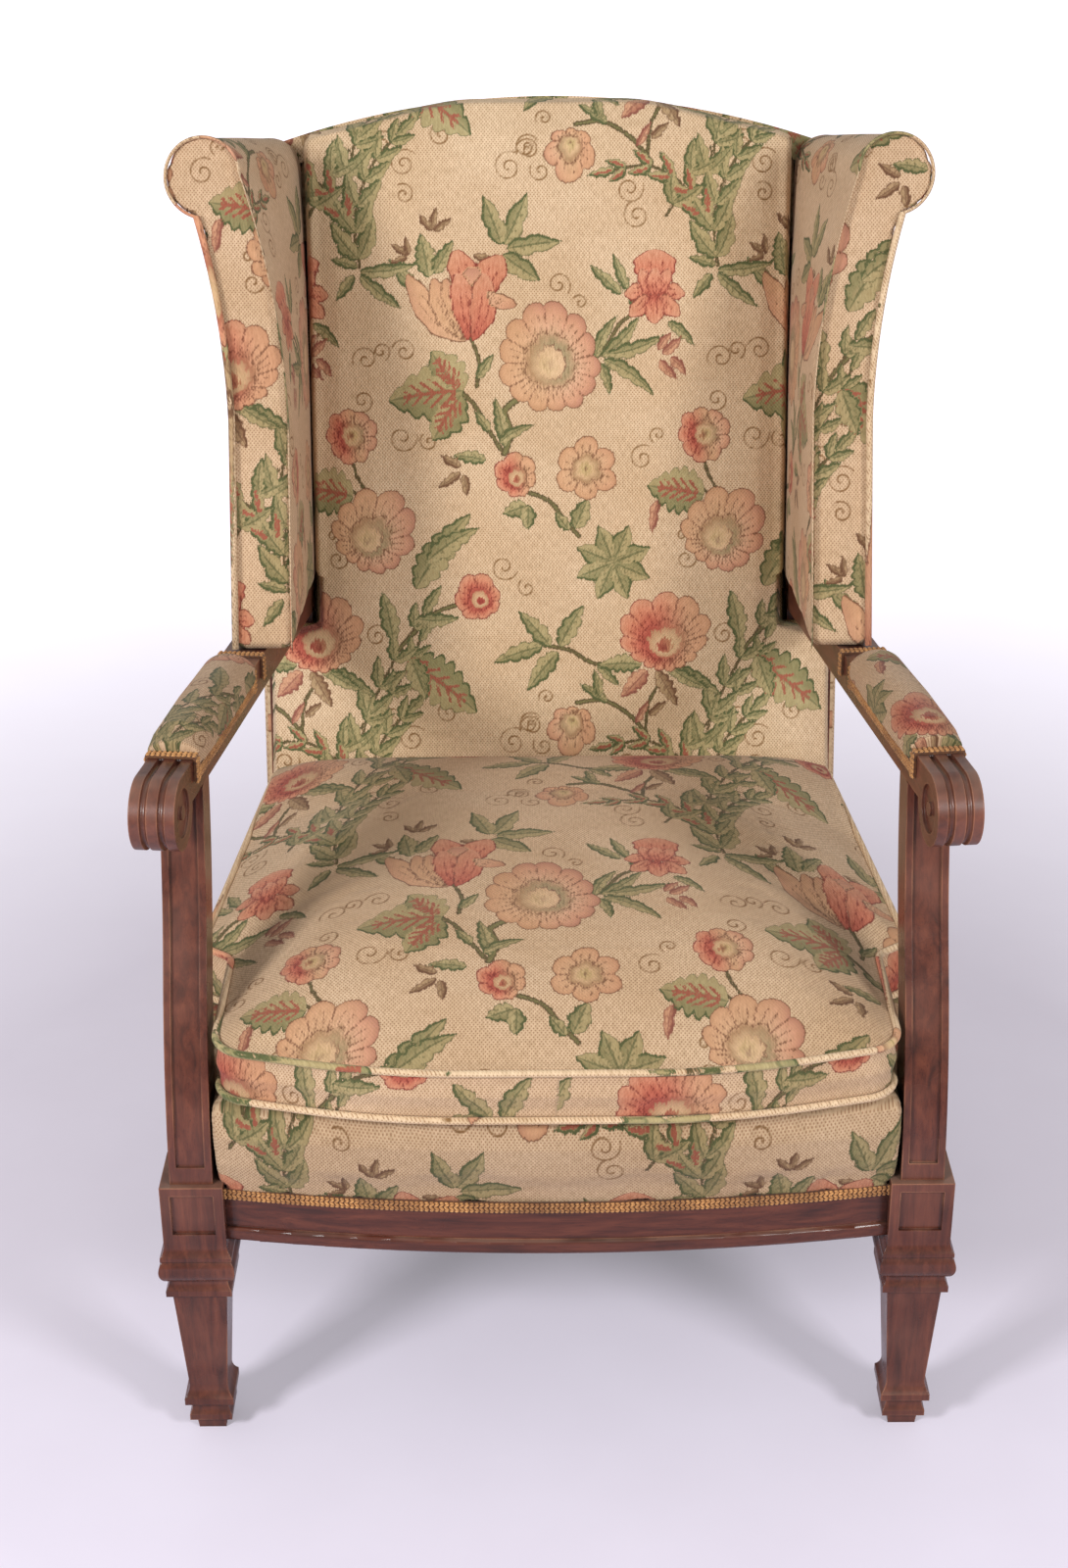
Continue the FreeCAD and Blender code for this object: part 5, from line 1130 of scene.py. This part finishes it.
def braid_part(name, runs, rows, size):
    """One kind of strand along every run; a run is a list of places with the way out of the cloth there."""
    points, ways, slants, links = [], [], [], []
    for run in runs:
        for offset, slant in rows:
            for at, (place, out) in enumerate(run):
                ahead = run[min(at + 1, len(run) - 1)][0] - run[max(at - 1, 0)][0]
                if at:
                    links.append((len(points) - 1, len(points)))
                points.append(place + out.cross(ahead).normalized() * offset)
                ways.append(out)
                slants.append(slant)
    mesh = bpy.data.meshes.new(name)
    mesh.from_pydata(points, links, [])
    mesh.attributes.new("outward", "FLOAT_VECTOR", "POINT").data.foreach_set("vector", np.array(ways).ravel())
    mesh.attributes.new("slant", "FLOAT", "POINT").data.foreach_set("value", slants)
    part = new_object(name, mesh)
    strands = part.modifiers.new("strands", "NODES")
    strands.node_group = braid
    strands[braid_ports["Strand Gap"]] = STRAND_GAP
    strands[braid_ports["Strand Size"]] = size
    strands[braid_ports["Yarn"]] = gimp
    return plain_mesh(part, name)


def lay_braid(name, runs):
    chevron_rows = ((CHEVRON_AT, CHEVRON_SLANT), (-CHEVRON_AT, -CHEVRON_SLANT))
    loop_rows = ((LOOPS_AT, 0.0), (-LOOPS_AT, 0.0))
    for part, rows, size in (("chevron", chevron_rows, CHEVRON_SIZE), ("loops", loop_rows, LOOP_SIZE)):
        strands = braid_part(f"{name}_{part}", runs, rows, size)
        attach(strands, "chair")


def run_along(node, out, axis, reach):
    """The middle line of a strip's outer face, in order along an axis, where it lies beyond a reach."""
    mesh = nodes[node].data
    middle = sum(corner.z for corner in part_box(node)) / 2
    outer = [face for face in mesh.polygons if face.normal.dot(out) > 0.7 and face.center.dot(out) > reach]
    tops = {}
    for face in outer:
        for corner in face.vertices:
            place = mesh.vertices[corner].co
            if place.z > middle:
                tops[round(place[axis], 5)] = (Vector((place.x, place.y, middle)), face.normal.copy())
    return [tops[key] for key in sorted(tops)]


SIDE_GIMP_REACH = 0.2945
FRONT_GIMP_REACH = 0.34
lay_braid("seat_braid", [run_along("seat_gimp", Vector((0, -1, 0)), 0, FRONT_GIMP_REACH),
                         run_along("seat_gimp", Vector((-1, 0, 0)), 1, SIDE_GIMP_REACH),
                         run_along("seat_gimp", Vector((1, 0, 0)), 1, SIDE_GIMP_REACH)])

GIMP_HALF = 0.022
GIMP_TOP = 0.0025
GIMP_FOOT = -0.0195
GIMP_ROUND = 0.002
GIMP_STATIONS = {"arm": (-0.0296, 0.2036), "wing": (0.2462,)}
GIMP_BESIDE = -0.0142
GIMP_BESIDE_ENDS = (-0.024, 0.09, 0.198)
for side, sign in SIDES.items():
    place = arm_frame(sign)

    def on_arm(x, y, z, out):
        return place @ Vector((x, y, z)), (place.to_3x3() @ Vector(out)).normalized()

    for owner, stations in GIMP_STATIONS.items():
        runs = []
        for y in stations:
            runs.append([on_arm(-GIMP_HALF, y, GIMP_FOOT, (-1, 0, 0)),
                         on_arm(-GIMP_HALF, y, GIMP_TOP - GIMP_ROUND, (-1, 0, 0.2)),
                         on_arm(-GIMP_HALF + GIMP_ROUND, y, GIMP_TOP, (-0.2, 0, 1)),
                         on_arm(0, y, GIMP_TOP, (0, 0, 1)),
                         on_arm(GIMP_HALF - GIMP_ROUND, y, GIMP_TOP, (0.2, 0, 1)),
                         on_arm(GIMP_HALF, y, GIMP_TOP - GIMP_ROUND, (1, 0, 0.2)),
                         on_arm(GIMP_HALF, y, GIMP_FOOT, (1, 0, 0))])
        if owner == "arm":
            for way in (-1, 1):
                runs.append([on_arm(way * GIMP_HALF, y, GIMP_BESIDE, (way, 0, 0)) for y in GIMP_BESIDE_ENDS])
        lay_braid(f"{owner}_braid_{side}", runs)

# Under the seat: jute webbing tacked to the rails, coppered springs on it and hessian over them.
# A black dust cloth closes the frame from below; the back has webbing and hessian too.

jute, tree, shader = new_material("coarse_jute")
spot = wire(tree, "ShaderNodeTexCoord").outputs["Object"]
threads = wire(tree, "ShaderNodeTexChecker", {"Vector": spot, "Scale": 700.0}).outputs[1]
tone = ramp(tree, threads, [(0.0, colour(126, 98, 60)), (1.0, colour(176, 146, 100))])
tree.links.new(tone, shader.inputs["Base Color"])
shader.inputs["Roughness"].default_value = 0.9
RIPPLE = 0.0002
RIPPLE_RATE = 55.0
SHEET_STEP = 0.03


def stretched_sheet(node, material):
    """Cloth strained over the frame: the solid in even squares, lying a little uneven."""
    sheet = cut_in_squares(f"{node}_cloth", node, SHEET_STEP)
    for vertex in sheet.data.vertices:
        x, y, z = vertex.co * RIPPLE_RATE
        vertex.co.z += RIPPLE * math.sin(x + 0.7 * z) * math.sin(1.3 * y)
    sheet.data.materials.append(material)
    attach(sheet, "chair")
    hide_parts(node)


stretched_sheet("seat_webbing", jute)
stretched_sheet("back_webbing", jute)
stretched_sheet("seat_hessian", jute)
stretched_sheet("back_hessian", jute)

steel, tree, shader = new_material("coppered_steel")
spot = wire(tree, "ShaderNodeTexCoord").outputs["Object"]
tarnish = noise(tree, spot, 60.0, 4.0)
tone = ramp(tree, tarnish, [(0.3, colour(92, 74, 60)), (0.7, colour(170, 140, 116))])
tree.links.new(tone, shader.inputs["Base Color"])
shader.inputs["Metallic"].default_value = 1.0
shader.inputs["Roughness"].default_value = 0.4
finish_node("seat_springs", steel)
dust, tree, shader = new_material("black_dust_cloth")
spot = wire(tree, "ShaderNodeTexCoord").outputs["Object"]
threads = wire(tree, "ShaderNodeTexChecker", {"Vector": spot, "Scale": 900.0}).outputs[1]
tone = ramp(tree, threads, [(0.0, colour(22, 22, 24)), (1.0, colour(46, 46, 50))])
tree.links.new(tone, shader.inputs["Base Color"])
shader.inputs["Roughness"].default_value = 0.95
stretched_sheet("dust_cover", dust)
